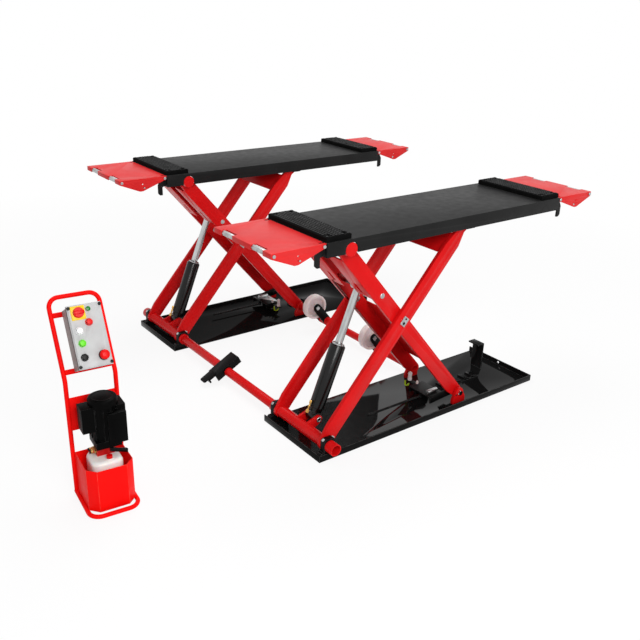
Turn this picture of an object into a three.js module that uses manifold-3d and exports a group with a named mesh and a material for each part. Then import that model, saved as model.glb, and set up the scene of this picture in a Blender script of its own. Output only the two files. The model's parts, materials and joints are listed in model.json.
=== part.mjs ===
// Portable scissor car lift: two scissor units side by side, joined by a tow tube at
// one end and a wheel bar at the other, and a separate power unit on a tube stand.
// Millimetres, +Z up. X runs along the decks, Y across the two units. While the parts
// are drawn, the axis of the fixed scissor pivots is x = 0, the middle of the front
// unit is y = 0 and the floor is z = 0; the last lines centre the finished set.
import * as THREE from 'three';
import { mergeVertices } from 'three/addons/utils/BufferGeometryUtils.js';
import Module from 'manifold-3d';

const wasm = await Module();
wasm.setup();

// Clearances and drawing precision
const gap = 0.3;
const overrun = 2;
const weld = 0.001;
const fineSides = 18;
const mediumSides = 12;
const coarseSides = 8;
const fewSteps = 3;
const archSteps = 36;

// Scissor linkage
const raisedAngle = 49;
const lowerHalf = 650;
const upperHalf = 541;
const reach = lowerHalf + upperHalf;
const pivotHeight = 62;
const unitSpacing = 1380;
const rise = Math.sin((raisedAngle * Math.PI) / 180);
const run = Math.cos((raisedAngle * Math.PI) / 180);
const footX = 2 * lowerHalf * run;
const topX = reach * run;
const topHeight = pivotHeight + reach * rise;
const lugX = (lowerHalf - upperHalf) * run;

// Base tray of one unit
const base = { start: -62, end: 1369, half: 223, sheet: 5, wall: 33 };

// Across one unit, from the edge of the base inwards: block, outer arm, inner arm
const across = { edgeRoom: 9, block: 28, arm: 18, room: 2, tubeOut: 36, tubeIn: 9, deckRoom: 5 };
const blockTo = base.half - across.edgeRoom;
const blockFrom = blockTo - across.block;
const outerTo = blockFrom - across.room;
const outerFrom = outerTo - across.arm;
const innerTo = outerFrom - across.room;
const innerFrom = innerTo - across.arm;

// Deck of one unit
const deckRise = 46;
const deck = {
  start: -54, end: 1396, half: base.half - across.deckRoom, top: topHeight + deckRise, sheet: 5,
  skirt: 61,
};

// Cross tube, the tube between the units, and the blocks that carry the cross tube
const tube = {
  radius: 28.5, bore: 23.5, outerEnd: base.half + across.tubeOut,
  innerEnd: base.half + across.tubeIn,
};
const tow = { radius: 23.2, bore: 18, plug: 50 };
const block = {
  cap: 31, foot: 54, footHeight: 34, capHeight: 98, from: blockFrom, to: blockTo, slope: 10,
};

// Outer arms, inner arms and the joints between them
const outerArm = {
  from: outerFrom, to: outerTo, below: 32, above: 46, heel: 34, heelRun: 70, taperStart: 1082,
  taperEnd: 1146, taperRise: 12, nose: 22, shoulder: 1040, shoulderEnd: 1150, shoulderRise: 30,
};
const innerArm = {
  from: innerFrom, to: innerTo, below: 42, above: 30, end: 30, neck: 60, heel: 1130,
};
const topShaft = 11;
const footAxle = 15;
const centrePin = { radius: 14, headLength: 4, plateLong: 44, plateWide: 34 };
const deckPin = { radius: 12, hangerThick: 18, pinOut: 1.4 };
const topPlate = { start: 1000, end: 1108, low: 34, high: 40 };
const sideWeb = { start: 50, end: 330, inner: 46, thick: 6, slotStart: 240, slotEnd: 305, slot: 9 };
const headWeb = { start: 70, end: 190, thick: 6 };
const footWeb = { start: 590, end: 1060, thick: 6 };
const seatBoss = { distance: 352, rim: 20 };

// Hydraulic ram
const ram = {
  pinOut: 66, pinLow: 30, footPin: 10, earRadius: 20, earFrom: 30, earTo: 42, eyeRadius: 24,
  eyeHalf: 29, barrelRadius: 33, rodRadius: 17.5, boreRadius: 18, barrelStart: 26, boreStart: 60,
  barrelEnd: 358, glandEnd: 365, glandRadius: 27, rodOverlap: 40, headRadius: 24, headHalf: 34,
  shaftRadius: 14, shaftRoom: 4,
};

// Shoes and wheels at the sliding end
const topShoe = { thick: 20, half: 35, below: 22, corner: 10 };
const footShoe = { from: outerFrom, to: outerTo, half: 42, crown: 26, low: 30 };
const bar = { radius: 21, bore: 16, collar: 27, collarHalf: 32 };
const wheel = { radius: 74.5, half: 21, hub: 22, axle: 8, rim: 62, dish: 12, face: 14, edge: 6 };
const fork = { length: 130, angle: 127.9, inner: 24.5, outer: 30.5, root: 27, tip: 25, inset: 262 };

// Rack on the base and the pawl carrier that travels with the foot
const rack = { start: 889, teeth: 5, pitch: 55, low: 9, high: 22, from: -30, to: 20 };
const carrier = {
  length: 160, plate: 8, outer: innerFrom - across.deckRoom - across.room / 2, far: 20,
  high: 58, low: 26, rootRadius: 23, deckHeight: 52, pinBack: 120, pinHeight: 38, pinRadius: 5,
  start: 62, axleRun: 22,
};
const airRam = { back: 142, front: 78, radius: 11, height: 67, room: 45 };
const linkRod = { length: 340, radius: 6, room: 78, height: 34 };
const pawl = { from: -20, to: 10, reach: 56, tip: 24, eye: 12, thick: 14, tail: 24 };

// Rest post under the lowered deck: a flat bar bent over at its top, clear of the slide shaft
const post = { x: 1204, tab: 45, thick: 8, y: 22, width: 74, top: 158 };

// Tow tongue on the tube between the units
const tongue = {
  y: 700, angle: 28.7, back: 110, front: 88, half: 38, narrow: 26, sheet: 8, lift: 24,
  flange: 30, hook: 11, hookBack: 92, neck: 70,
};

// Rubber pads, end brackets, ramps and ramp rollers
const pad = {
  inset: 2, width: 126, half: deck.half - 2 * across.deckRoom, height: 23, chamfer: 3, hole: 8,
  deep: 9, holeIn: 22,
};
const hinge = { out: 12, drop: 12, knuckle: 10.7, bolt: 5 };
const bracket = {
  room: 15, thick: 8, neckIn: 20, neckLow: 62, low: 104, toe: 44, toeHigh: 50,
};
const ramp = {
  start: 2, length: 262, half: deck.half - across.deckRoom, sheet: 6, gusset: 6, tipLow: 22,
  deepAt: 136, deep: 66,
  eye: 10, strutAt: 128, strutLow: 50, strut: 6, lip: 5, rodIn: 12, rodLow: 12, rod: 5,
  slotHigh: 30, slotTall: 18, slotRadius: 4, notch: 26, notchDeep: 16,
};
const roller = { radius: 11, half: 40, inset: 101, room: 3 };

// Power unit stand: two posts bent back above the waist, and a loop on the floor
const stand = {
  x: -912.4, y: 151.5, turn: -5.4, tube: 9, half: 98, waist: 511, top: 796, back: 157,
  depth: 211, bend: 40, loopBend: 46, sheet: 3, panelDown: 74, panelTall: 145,
  lowBarUp: 29, highBarDown: 60, barTall: 21, barThick: 6,
};
const lean = Math.atan2(stand.top - stand.waist, stand.back);
const bin = { half: 93, front: 195, back: 11, low: 16.7, top: 201, chamfer: 34, sheet: 2.5 };
const tank = { x: -2, y: -106, halfX: 62, halfY: 62, top: 216, bevel: 20 };
const cap = { x: 8, y: -142, radius: 12, height: 13, wingShare: 1.1 };
const valve = {
  x: 8, y: -88, halfX: 38, halfY: 24, height: 42, port: 6, portOut: 26,
  midPortShare: 0.7, chamfer: 8,
};
const motor = {
  x: 14, radius: 50, flange: 50, flangeTall: 30, bodyTop: 178, coverRadius: 56, coverTall: 28,
  dome: 10, boxLeft: 42, leftLow: 74, leftTall: 104, leftDeep: 64, boxRight: 26, rightLow: 50,
  rightTall: 122, rightDeep: 76, join: 8, frontIn: 2, frontOut: 70, frontDeep: 16, frontLow: 22,
  frontTall: 132, fins: 10, finOut: 4, finWide: 4,
};
const lever = { back: 10, out: 60, drop: 24, half: 8, thick: 6, grip: 9, bolt: 4 };
const box = { x: 5, half: 61, low: 28, high: 267, standOff: 8.25, deep: 96, sheet: 3, corner: 8 };
const lid = { thick: 16, rim: 3, step: 5 };
const button = { radius: 11, height: 10, stem: 6.5, stemLong: 30, lift: 4.5 };
const stop = { radius: 19, height: 18, stem: 8, lift: 6, crown: 13 };
const isolator = { half: 26, sheet: 5, radius: 20, height: 15, grip: 6.5, gripTall: 8, stem: 8 };
const lamp = { radius: 9, height: 9, collar: 10.5, collarTall: 3 };

// Where each control sits on the lid: from the middle of the lid, as shares of its half
const spots = {
  isolatorShares: [-0.44, 0.76], lampShares: [0.2, 0.84], redShares: [0.1, 0.42],
  whiteShares: [-0.59, 0.19], greenShares: [-0.57, -0.21], blackShares: [-0.61, -0.66],
  stopShares: [0.57, -0.69],
};

// Finishes
const paint = {
  red: [0xd01c1c, 0.32, 0.1], bright: [0xe8140f, 0.38, 0.05], black: [0x1d1d1d, 0.35, 0.2],
  satin: [0x2a2a2a, 0.5, 0.1], rubber: [0x161616, 0.9, 0], steel: [0xb4b8b8, 0.28, 0.95],
  nylon: [0xe8dedc, 0.5, 0], grey: [0xc4c4c4, 0.5, 0], shadeGrey: [0x8a8482, 0.55, 0],
  green: [0x6fd02a, 0.4, 0],
  white: [0xf4f4f4, 0.4, 0], tank: [0xe6e2dc, 0.35, 0], red2: [0xd8161a, 0.4, 0],
};

// Geometry helpers
function solidOf(geometry) {
  const bare = geometry.clone();
  bare.deleteAttribute('normal');
  bare.deleteAttribute('uv');
  const merged = mergeVertices(bare, weld);
  return new wasm.Manifold(new wasm.Mesh({
    numProp: 3,
    vertProperties: Float32Array.from(merged.attributes.position.array),
    triVerts: Uint32Array.from(merged.index.array),
  }));
}

function shapeOf(points) {
  return new THREE.Shape(points.map(([a, b]) => new THREE.Vector2(a, b)));
}

// Plate with an outline in X and Z, from one y to another
function plateXZ(points, fromY, toY) {
  const options = { depth: toY - fromY, bevelEnabled: false, curveSegments: coarseSides };
  const geometry = new THREE.ExtrudeGeometry(shapeOf(points), options);
  geometry.rotateX(Math.PI / 2);
  geometry.translate(0, toY, 0);
  return solidOf(geometry);
}

// Plate with an outline in X and Y, from one height to another
function plateXY(points, low, high) {
  const options = { depth: high - low, bevelEnabled: false, curveSegments: coarseSides };
  const geometry = new THREE.ExtrudeGeometry(shapeOf(points), options);
  geometry.translate(0, 0, low);
  return solidOf(geometry);
}

function boxBetween([x0, y0, z0], [x1, y1, z1]) {
  const geometry = new THREE.BoxGeometry(x1 - x0, y1 - y0, z1 - z0);
  geometry.translate((x0 + x1) / 2, (y0 + y1) / 2, (z0 + z1) / 2);
  return solidOf(geometry);
}

function rodY(x, z, radius, fromY, toY, sides = mediumSides) {
  const geometry = new THREE.CylinderGeometry(radius, radius, toY - fromY, sides);
  geometry.translate(x, (fromY + toY) / 2, z);
  return solidOf(geometry);
}

function rodX(y, z, radius, fromX, toX, sides = mediumSides) {
  const geometry = new THREE.CylinderGeometry(radius, radius, toX - fromX, sides);
  geometry.rotateZ(Math.PI / 2);
  geometry.translate((fromX + toX) / 2, y, z);
  return solidOf(geometry);
}

function rodZ(x, y, radius, low, high, sides = mediumSides) {
  const geometry = new THREE.CylinderGeometry(radius, radius, high - low, sides);
  geometry.rotateX(Math.PI / 2);
  geometry.translate(x, y, (low + high) / 2);
  return solidOf(geometry);
}

function turned(profile, sides) {
  const points = profile.map(([radius, along]) => new THREE.Vector2(radius, along));
  return solidOf(new THREE.LatheGeometry(points, sides));
}

function arc(x, y, radius, fromDegrees, toDegrees, steps) {
  const points = [];
  for (let i = 0; i <= steps; i += 1) {
    const angle = ((fromDegrees + ((toDegrees - fromDegrees) * i) / steps) * Math.PI) / 180;
    points.push([x + radius * Math.cos(angle), y + radius * Math.sin(angle)]);
  }
  return points;
}

// Round bar bent along a line of corner points
function bentBar(corners, radius, bend, steps) {
  const path = new THREE.CurvePath();
  const points = corners.map((corner) => new THREE.Vector3(...corner));
  let from = points[0];
  for (let i = 1; i < points.length - 1; i += 1) {
    const before = points[i - 1].clone().sub(points[i]).normalize().multiplyScalar(bend);
    const after = points[i + 1].clone().sub(points[i]).normalize().multiplyScalar(bend);
    const enter = points[i].clone().add(before);
    const leave = points[i].clone().add(after);
    path.add(new THREE.LineCurve3(from, enter));
    path.add(new THREE.QuadraticBezierCurve3(enter, points[i], leave));
    from = leave;
  }
  path.add(new THREE.LineCurve3(from, points[points.length - 1]));
  const ring = shapeOf(arc(0, 0, radius, 0, 360, coarseSides).slice(0, coarseSides));
  return solidOf(new THREE.ExtrudeGeometry(ring, { extrudePath: path, steps, bevelEnabled: false }));
}

// Radius of a many-sided hole that clears a round of the given radius at any turn
function fit(radius, sides) {
  return (radius + gap) / Math.cos(Math.PI / sides);
}

function join(solids) {
  return wasm.Manifold.union(solids);
}

// The same piece on both sides of the middle plane y = 0
function bothSides(make) {
  return [make(1), make(-1)];
}

function sidePlate(points, from, to, side) {
  return side > 0 ? plateXZ(points, from, to) : plateXZ(points, -to, -from);
}

function sideRod(x, z, radius, from, to, side, sides = mediumSides) {
  return side > 0 ? rodY(x, z, radius, from, to, sides) : rodY(x, z, radius, -to, -from, sides);
}

// The rear unit is the front unit mirrored across the plane halfway between them
function toRear(solid) {
  return solid.mirror([0, 1, 0]).translate([0, unitSpacing, 0]);
}

function toOtherEnd(solid) {
  return solid.mirror([1, 0, 0]).translate([deck.start + deck.end, 0, 0]);
}

function placeOuter(solid) {
  return solid.rotate([0, -raisedAngle, 0]).translate([0, 0, pivotHeight]);
}

function placeInner(solid) {
  return solid.rotate([0, raisedAngle, 0]).translate([lugX, 0, topHeight]);
}

const set = new THREE.Group();
set.name = 'portable_scissor_lift';

function add(name, solid, [colour, roughness, metalness]) {
  const body = solid.getMesh();
  const geometry = new THREE.BufferGeometry();
  geometry.setAttribute('position', new THREE.Float32BufferAttribute(body.vertProperties, 3));
  geometry.setIndex(new THREE.Uint32BufferAttribute(body.triVerts, 1));
  geometry.computeVertexNormals();
  const material = new THREE.MeshStandardMaterial({ color: colour, roughness, metalness });
  const mesh = new THREE.Mesh(geometry, material);
  mesh.name = name;
  set.add(mesh);
}

// One copy on the front unit and its mirror image on the rear unit
function addPair(name, solid, finish) {
  add(`${name}_front`, solid, finish);
  add(`${name}_rear`, toRear(solid), finish);
}

// Copies for both arms of both units; the outer arm of each unit faces away from the other
function addFour(name, make, finish) {
  addPair(`${name}_outer`, make(-1), finish);
  addPair(`${name}_inner`, make(1), finish);
}

// Toothed rack welded on the base, which the pawl drops into
function makeRack() {
  const end = rack.start + rack.teeth * rack.pitch;
  const low = base.sheet / 2;
  const outline = [[rack.start, low], [end, low]];
  for (let i = rack.teeth; i > 0; i -= 1) {
    const right = rack.start + i * rack.pitch;
    outline.push([right, rack.low], [right - rack.pitch, rack.high]);
  }
  return plateXZ(outline, rack.from, rack.to);
}

// Post welded on the front base, which the lowered front deck rests on
function makeRestPost() {
  const { x, tab, thick, y, width, top } = post;
  const right = x + tab;
  return join([
    boxBetween([right - thick, y, base.sheet / 2], [right, y + width, top]),
    boxBetween([x, y, top - thick], [right, y + width, top]),
  ]);
}

// Base tray: floor plate, a wall on the outer long side and at both ends
function makeBaseTray() {
  const { start, end, half, sheet, wall } = base;
  const inside = boxBetween(
    [start + sheet, sheet - half, sheet], [end - sheet, half + overrun, wall + overrun],
  );
  return join([boxBetween([start, -half, 0], [end, half, wall]).subtract(inside), makeRack()]);
}
add('base_tray_front', join([makeBaseTray(), makeRestPost()]), paint.black);
add('base_tray_rear', toRear(makeBaseTray()), paint.black);

// Bearing blocks hold the cross tube down beside the outer arms
function makeBearingBlock(side) {
  const { cap: half, foot, footHeight, capHeight, from, to, slope } = block;
  const low = base.sheet + gap;
  const outline = [
    [-foot, low], [foot, low], [foot, footHeight - slope], [foot - slope, footHeight],
    [half, footHeight], [half, capHeight - slope], [half - slope, capHeight],
    [slope - half, capHeight], [-half, capHeight - slope], [-half, footHeight],
    [slope - foot, footHeight], [-foot, footHeight - slope],
  ];
  const hole = sideRod(
    0, pivotHeight, fit(tube.radius, fineSides), from - overrun, to + overrun, side, fineSides,
  );
  return sidePlate(outline, from, to, side).subtract(hole);
}
addFour('bearing_block', makeBearingBlock, paint.black);

// Outer arm, drawn along its own length from the fixed pivot
function outerArmPlate(side) {
  const a = outerArm;
  const outline = [
    ...arc(0, 0, a.heel, 90, 270, coarseSides), [a.heelRun, -a.below], [a.taperStart, -a.below],
    [a.taperEnd, -a.taperRise], ...arc(reach, 0, a.nose, -90, 90, coarseSides),
    [a.shoulderEnd, a.shoulderRise], [a.shoulder, a.above], [a.heelRun, a.above],
  ];
  const from = a.from - overrun;
  const to = a.to + overrun;
  const holes = [
    sideRod(lowerHalf, 0, fit(centrePin.radius, mediumSides), from, to, side),
    sideRod(reach, 0, fit(topShaft, mediumSides), from, to, side),
  ];
  return sidePlate(outline, a.from, a.to, side).subtract(join(holes));
}

function ramEar(side) {
  const x = ram.pinOut;
  const z = -ram.pinLow;
  const bearing = THREE.MathUtils.radToDeg(new THREE.Vector2(x, z).angle());
  const outline = [
    ...arc(0, 0, tube.radius - gap, bearing + 90, bearing + 270, coarseSides),
    ...arc(x, z, ram.earRadius, bearing - 90, bearing + 90, coarseSides),
  ];
  return sidePlate(outline, ram.earFrom, ram.earTo, side);
}

function makeOuterFrame() {
  const arms = bothSides(outerArmPlate);
  const footPin = rodY(ram.pinOut, -ram.pinLow, ram.footPin, -ram.earTo, ram.earTo);
  const bore = rodY(0, 0, tube.bore, -tube.outerEnd - overrun, tube.innerEnd + overrun, fineSides);
  const crossTube = rodY(0, 0, tube.radius, -tube.outerEnd, tube.innerEnd, fineSides);
  const plate = boxBetween(
    [topPlate.start, -outerArm.from - overrun, topPlate.low],
    [topPlate.end, outerArm.from + overrun, topPlate.high],
  );
  const body = join([...arms, ...bothSides(ramEar), footPin, crossTube, plate]);
  return placeOuter(body.subtract(bore));
}
addPair('outer_frame', makeOuterFrame(), paint.red);

// Tube between the units, plugged into both cross tubes
const towEnd = tube.innerEnd - tow.plug;
const towSpan = [towEnd, unitSpacing - towEnd];
const towTube = rodY(0, 0, tow.radius, ...towSpan, fineSides)
  .subtract(rodY(0, 0, tow.bore, towEnd - overrun, unitSpacing - towEnd + overrun, fineSides));
add('connecting_tube', placeOuter(towTube), paint.red);

// Tow tongue: a channel straddling the tube, narrower at its hook end
function makeTongue() {
  const { back, front, half, narrow, sheet, lift, flange, hook, hookBack, neck } = tongue;
  const web = [
    [-back, -narrow], [-neck, -narrow], [-neck, -half], [front, -half],
    [front, half], [-neck, half], [-neck, narrow], [-back, narrow],
  ];
  const solids = [
    plateXY(web, lift, lift + sheet),
    boxBetween([-neck, -half, lift - flange], [front, sheet - half, lift + sheet / 2]),
    boxBetween([-neck, half - sheet, lift - flange], [front, half, lift + sheet / 2]),
    boxBetween([-back, -narrow, lift - flange / 2], [sheet - back, narrow, lift + sheet / 2]),
  ];
  const cuts = join([
    rodY(0, 0, fit(tow.radius, fineSides), -half - overrun, half + overrun, fineSides),
    rodZ(-hookBack, 0, hook, lift - overrun, lift + sheet + overrun),
  ]);
  const placed = join(solids).subtract(cuts).rotate([0, -tongue.angle, 0]);
  return placed.translate([0, tongue.y, pivotHeight]);
}
add('tow_tongue', makeTongue(), paint.black);

// Centre pivot pins with the lock plate that shows on the outer arm
function makeCentrePin(side) {
  const from = innerArm.from;
  const face = outerArm.to + gap;
  const { radius, headLength, plateLong, plateWide } = centrePin;
  const shank = sideRod(lowerHalf, 0, radius, from, face + headLength / 2, side);
  const low = side > 0 ? face : -face - headLength;
  const high = low + headLength;
  const plate = boxBetween(
    [lowerHalf - plateLong / 2, low, -plateWide / 2],
    [lowerHalf + plateLong / 2, high, plateWide / 2],
  );
  return placeOuter(join([shank, plate]));
}
addFour('centre_pin', makeCentrePin, paint.steel);

// Inner arm, drawn along its own length from the deck pivot
function innerArmPlate(side) {
  const a = innerArm;
  const outline = [
    ...arc(0, 0, a.end, 90, 270, coarseSides), [a.neck, -a.below], [a.heel, -a.below],
    ...arc(reach, 0, a.end, -90, 90, coarseSides),
  ];
  const from = a.from - overrun;
  const to = a.to + overrun;
  const holes = [
    sideRod(0, 0, fit(deckPin.radius, mediumSides), from, to, side),
    sideRod(upperHalf, 0, fit(centrePin.radius, mediumSides), from, to, side),
    sideRod(reach, 0, fit(side > 0 ? bar.radius : footAxle, fineSides), from, to, side, fineSides),
  ];
  return sidePlate(outline, a.from, a.to, side).subtract(join(holes));
}

// Strip along the lower edge of one inner arm, with a long slot in it
function innerSideWeb(side) {
  const { start, end, inner, thick, slotStart, slotEnd, slot } = sideWeb;
  const low = -innerArm.below;
  const near = side > 0 ? inner : -innerArm.from - overrun;
  const far = side > 0 ? innerArm.from + overrun : -inner;
  const middle = (side * (inner + innerArm.from)) / 2;
  const strip = boxBetween([start, near, low], [end, far, low + thick]);
  const hole = boxBetween(
    [slotStart, middle - slot, low - overrun],
    [slotEnd, middle + slot, low + thick + overrun],
  );
  return strip.subtract(hole);
}

function makeInnerFrame() {
  const a = innerArm;
  const wide = a.from + overrun;
  const webs = [headWeb, footWeb].map(({ start, end, thick }) => boxBetween(
    [start, -wide, a.above - thick], [end, wide, a.above],
  ));
  const rims = bothSides((side) => sideRod(
    seatBoss.distance, 0, seatBoss.rim, a.from - gap, a.to + gap, side,
  ));
  return placeInner(join([
    ...bothSides(innerArmPlate), ...bothSides(innerSideWeb), ...webs, ...rims,
  ]));
}
addPair('inner_frame', makeInnerFrame(), paint.red);

// Bar between the inner feet of the two units, with a fork welded on for each wheel
const wheelPlaces = [unitSpacing / 2 - fork.inset, unitSpacing / 2 + fork.inset];

function makeFork(y) {
  const { length, angle, inner, outer, root, tip } = fork;
  const cheeks = [[-outer, -inner], [inner, outer]].map(([from, to]) => plateXZ(
    [...arc(0, 0, root, 90, 270, coarseSides), ...arc(length, 0, tip, -90, 90, coarseSides)], from, to,
  ));
  const collar = rodY(0, 0, bar.collar, -bar.collarHalf, bar.collarHalf, fineSides);
  const axle = rodY(length, 0, wheel.axle, -bar.collarHalf, bar.collarHalf);
  const whole = join([...cheeks, collar, axle]);
  return whole.rotate([0, -angle, 0]).translate([footX, y, pivotHeight]);
}

function makeWheelBar() {
  const from = innerArm.from;
  const to = unitSpacing - from;
  const outside = rodY(footX, pivotHeight, bar.radius, from, to, fineSides);
  const bore = rodY(footX, pivotHeight, bar.bore, from - overrun, to + overrun, fineSides);
  return join([outside, ...wheelPlaces.map(makeFork)]).subtract(bore);
}
add('wheel_bar', makeWheelBar(), paint.red);

function makeWheel(y) {
  const { radius, half, hub, axle, rim, dish, face, edge } = wheel;
  const bore = fit(axle, fineSides);
  const profile = [
    [bore, -half], [hub, -half], [hub + edge, -dish], [rim - edge, -dish], [rim, -face],
    [radius - edge, -face - edge], [radius, -face], [radius, face], [radius - edge, face + edge],
    [rim, face], [rim - edge, dish], [hub + edge, dish], [hub, half], [bore, half], [bore, -half],
  ];
  const angle = (fork.angle * Math.PI) / 180;
  const x = footX + fork.length * Math.cos(angle);
  const z = pivotHeight + fork.length * Math.sin(angle);
  return turned(profile, fineSides).translate([x, y, z]);
}
add('wheel_front', makeWheel(wheelPlaces[0]), paint.nylon);
add('wheel_rear', makeWheel(wheelPlaces[1]), paint.nylon);

// Shoes that slide on the base under the inner arms
function makeFootShoe(side) {
  const { from, to, half, crown, low } = footShoe;
  const floor = base.sheet + gap;
  const outline = [
    [footX - half, floor], [footX + half, floor], [footX + half, low],
    ...arc(footX, pivotHeight, crown, 0, 180, coarseSides), [footX - half, low],
  ];
  return sidePlate(outline, from, to, side);
}

const barHole = rodY(
  footX, pivotHeight, fit(bar.radius, fineSides), footShoe.from - overrun, footShoe.to + overrun,
  fineSides,
);
addPair('foot_shoe', makeFootShoe(1).subtract(barHole), paint.red);

// Carrier of the safety lock: a shoe outside the arm, an axle through the arm's foot,
// and inside it a cheek, a shelf, the lock cylinder and the link rod
function makeCarrier() {
  const { length, plate, outer, far, high, low, rootRadius, deckHeight, start } = carrier;
  const left = footX - length;
  const right = footX - start;
  const arm = [
    [left, low], ...arc(footX, pivotHeight, rootRadius, -90, 90, coarseSides), [left, high],
  ];
  const pinX = footX - carrier.pinBack;
  const airSide = airRam.room - outer;
  const rodSide = linkRod.room - outer;
  return join([
    makeFootShoe(-1),
    rodY(footX, pivotHeight, footAxle, -footShoe.to, carrier.axleRun - outer),
    plateXZ(arm, -outer, plate - outer),
    boxBetween([left, -outer, deckHeight], [right, far, high]),
    boxBetween([left, far - plate, low], [right, far, high]),
    boxBetween([left, pawl.from - plate - gap, low], [right, pawl.from - gap, high]),
    rodY(pinX, carrier.pinHeight, carrier.pinRadius, pawl.from - plate, far - plate / 2),
    rodX(airSide, airRam.height, airRam.radius, footX - airRam.back, footX - airRam.front),
    rodX(rodSide, linkRod.height, linkRod.radius, left - linkRod.length, left + plate, coarseSides),
    boxBetween(
      [left, rodSide - plate, low], [left + plate, rodSide + plate, deckHeight + plate / 2],
    ),
  ]);
}
addPair('lock_carrier', makeCarrier(), paint.red);

// Pawl that drops into the rack; it is drawn lifted clear
function makePawl() {
  const { from, to, reach: length, tip, eye, thick, tail } = pawl;
  const x = footX - carrier.pinBack;
  const z = carrier.pinHeight;
  const outline = [
    [x - tail, z - thick / 2], ...arc(x, z, eye, 225, 300, fewSteps), [x + length, tip],
    [x + length, tip + thick], [x + eye, z + thick / 2], ...arc(x, z, eye, 60, 120, fewSteps),
    [x - tail, z + thick / 2],
  ];
  const hole = rodY(x, z, fit(carrier.pinRadius, mediumSides), from - overrun, to + overrun);
  return plateXZ(outline, from, to).subtract(hole);
}
addPair('lock_pawl', makePawl(), paint.black);

// Slide under the deck: a shaft through the tops of the outer arms with a shoe at each end
const topShoeFrom = outerTo + across.room;
const topShoeTo = topShoeFrom + topShoe.thick;

function makeTopShoe(side) {
  const { half, below, corner } = topShoe;
  const high = deck.top - deck.sheet - gap;
  const low = topHeight - below;
  const outline = [
    [topX - half + corner, low], [topX + half - corner, low], [topX + half, low + corner],
    [topX + half, high], [topX - half, high], [topX - half, low + corner],
  ];
  return sidePlate(outline, topShoeFrom, topShoeTo, side);
}
const slideShaft = rodY(topX, topHeight, topShaft, -topShoeTo, topShoeTo);
addPair('top_slide', join([slideShaft, ...bothSides(makeTopShoe)]), paint.satin);

// Bracket welded to one end of the deck; its bolt carries the ramp
const hingeX = deck.start - hinge.out;
const hingeZ = deck.top - hinge.drop;
const bracketTo = ramp.half - bracket.room;
const bracketFrom = bracketTo - bracket.thick;

function makeBracket(side) {
  const { neckIn, neckLow, low, toe, toeHigh } = bracket;
  const x = deck.start + deck.sheet / 2;
  const outline = [
    ...arc(hingeX, hingeZ, hinge.knuckle, 60, 180, coarseSides / 2),
    [deck.start - toe, deck.top - toeHigh], [deck.start - toe, deck.top - low + neckIn / 2],
    [deck.start - toe + neckIn / 2, deck.top - low], [deck.start - neckIn, deck.top - low],
    [deck.start - neckIn, deck.top - neckLow], [x, deck.top - neckLow + neckIn / 2],
    [x, hingeZ],
  ];
  const bolt = sideRod(
    hingeX, hingeZ, hinge.bolt, bracketFrom, ramp.half + gap, side, coarseSides,
  );
  return join([sidePlate(outline, bracketFrom, bracketTo, side), bolt]);
}

// Deck: top plate, skirt all round with an arch over each arm head, hangers with their
// pins for the arm heads, and the end brackets
function makeDeck() {
  const { start, end, half, top, sheet, skirt } = deck;
  const arch = innerArm.end + overrun;
  const hangerTo = innerFrom - across.room;
  const hangerFrom = hangerTo - deckPin.hangerThick;
  const outside = boxBetween([start, -half, top - skirt], [end, half, top]);
  const inside = boxBetween(
    [start + sheet, sheet - half, top - skirt - overrun], [end - sheet, half - sheet, top - sheet],
  );
  const arches = [
    rodY(lugX, topHeight, arch, -half - overrun, half + overrun, fineSides),
    boxBetween(
      [lugX - arch, -half - overrun, top - skirt - overrun],
      [lugX + arch, half + overrun, topHeight],
    ),
  ];
  const shell = outside.subtract(join([inside, ...arches]));
  const hangers = bothSides((side) => {
    const outline = [
      [lugX + arch, top - sheet / 2], [lugX - arch, top - sheet / 2],
      ...arc(lugX, topHeight, deckPin.radius * 2, 180, 360, coarseSides),
    ];
    return sidePlate(outline, hangerFrom, hangerTo, side);
  });
  const pins = bothSides((side) => sideRod(
    lugX, topHeight, deckPin.radius, hangerFrom, innerTo + deckPin.pinOut, side,
  ));
  const brackets = bothSides(makeBracket);
  return join([shell, ...hangers, ...pins, ...brackets, ...brackets.map(toOtherEnd)]);
}
addPair('deck', makeDeck(), paint.satin);

// Rubber pad across one end of the deck, with counterbored bolt holes
function makePad() {
  const { inset, width, half, height, chamfer, hole, deep, holeIn } = pad;
  const left = deck.start + inset;
  const right = left + width;
  const low = deck.top + gap;
  const high = low + height;
  const outline = [
    [left, low], [right, low], [right, high - chamfer], [right - chamfer, high],
    [left + chamfer, high], [left, high - chamfer],
  ];
  const holes = [];
  for (const x of [left + holeIn, right - holeIn]) {
    for (const y of [holeIn - half, half - holeIn]) {
      holes.push(rodZ(x, y, hole, high - deep, high + overrun, coarseSides));
    }
  }
  return plateXZ(outline, -half, half).subtract(join(holes));
}
addPair('deck_pad_left', makePad(), paint.rubber);
addPair('deck_pad_right', toOtherEnd(makePad()), paint.rubber);

// Ramp: plate with side gussets and hinge notches
const tipX = deck.start - ramp.length;
const rodAtX = tipX + ramp.rodIn;
const rodAtZ = deck.top - ramp.rodLow;
const rollerAt = ramp.half - roller.inset;

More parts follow.
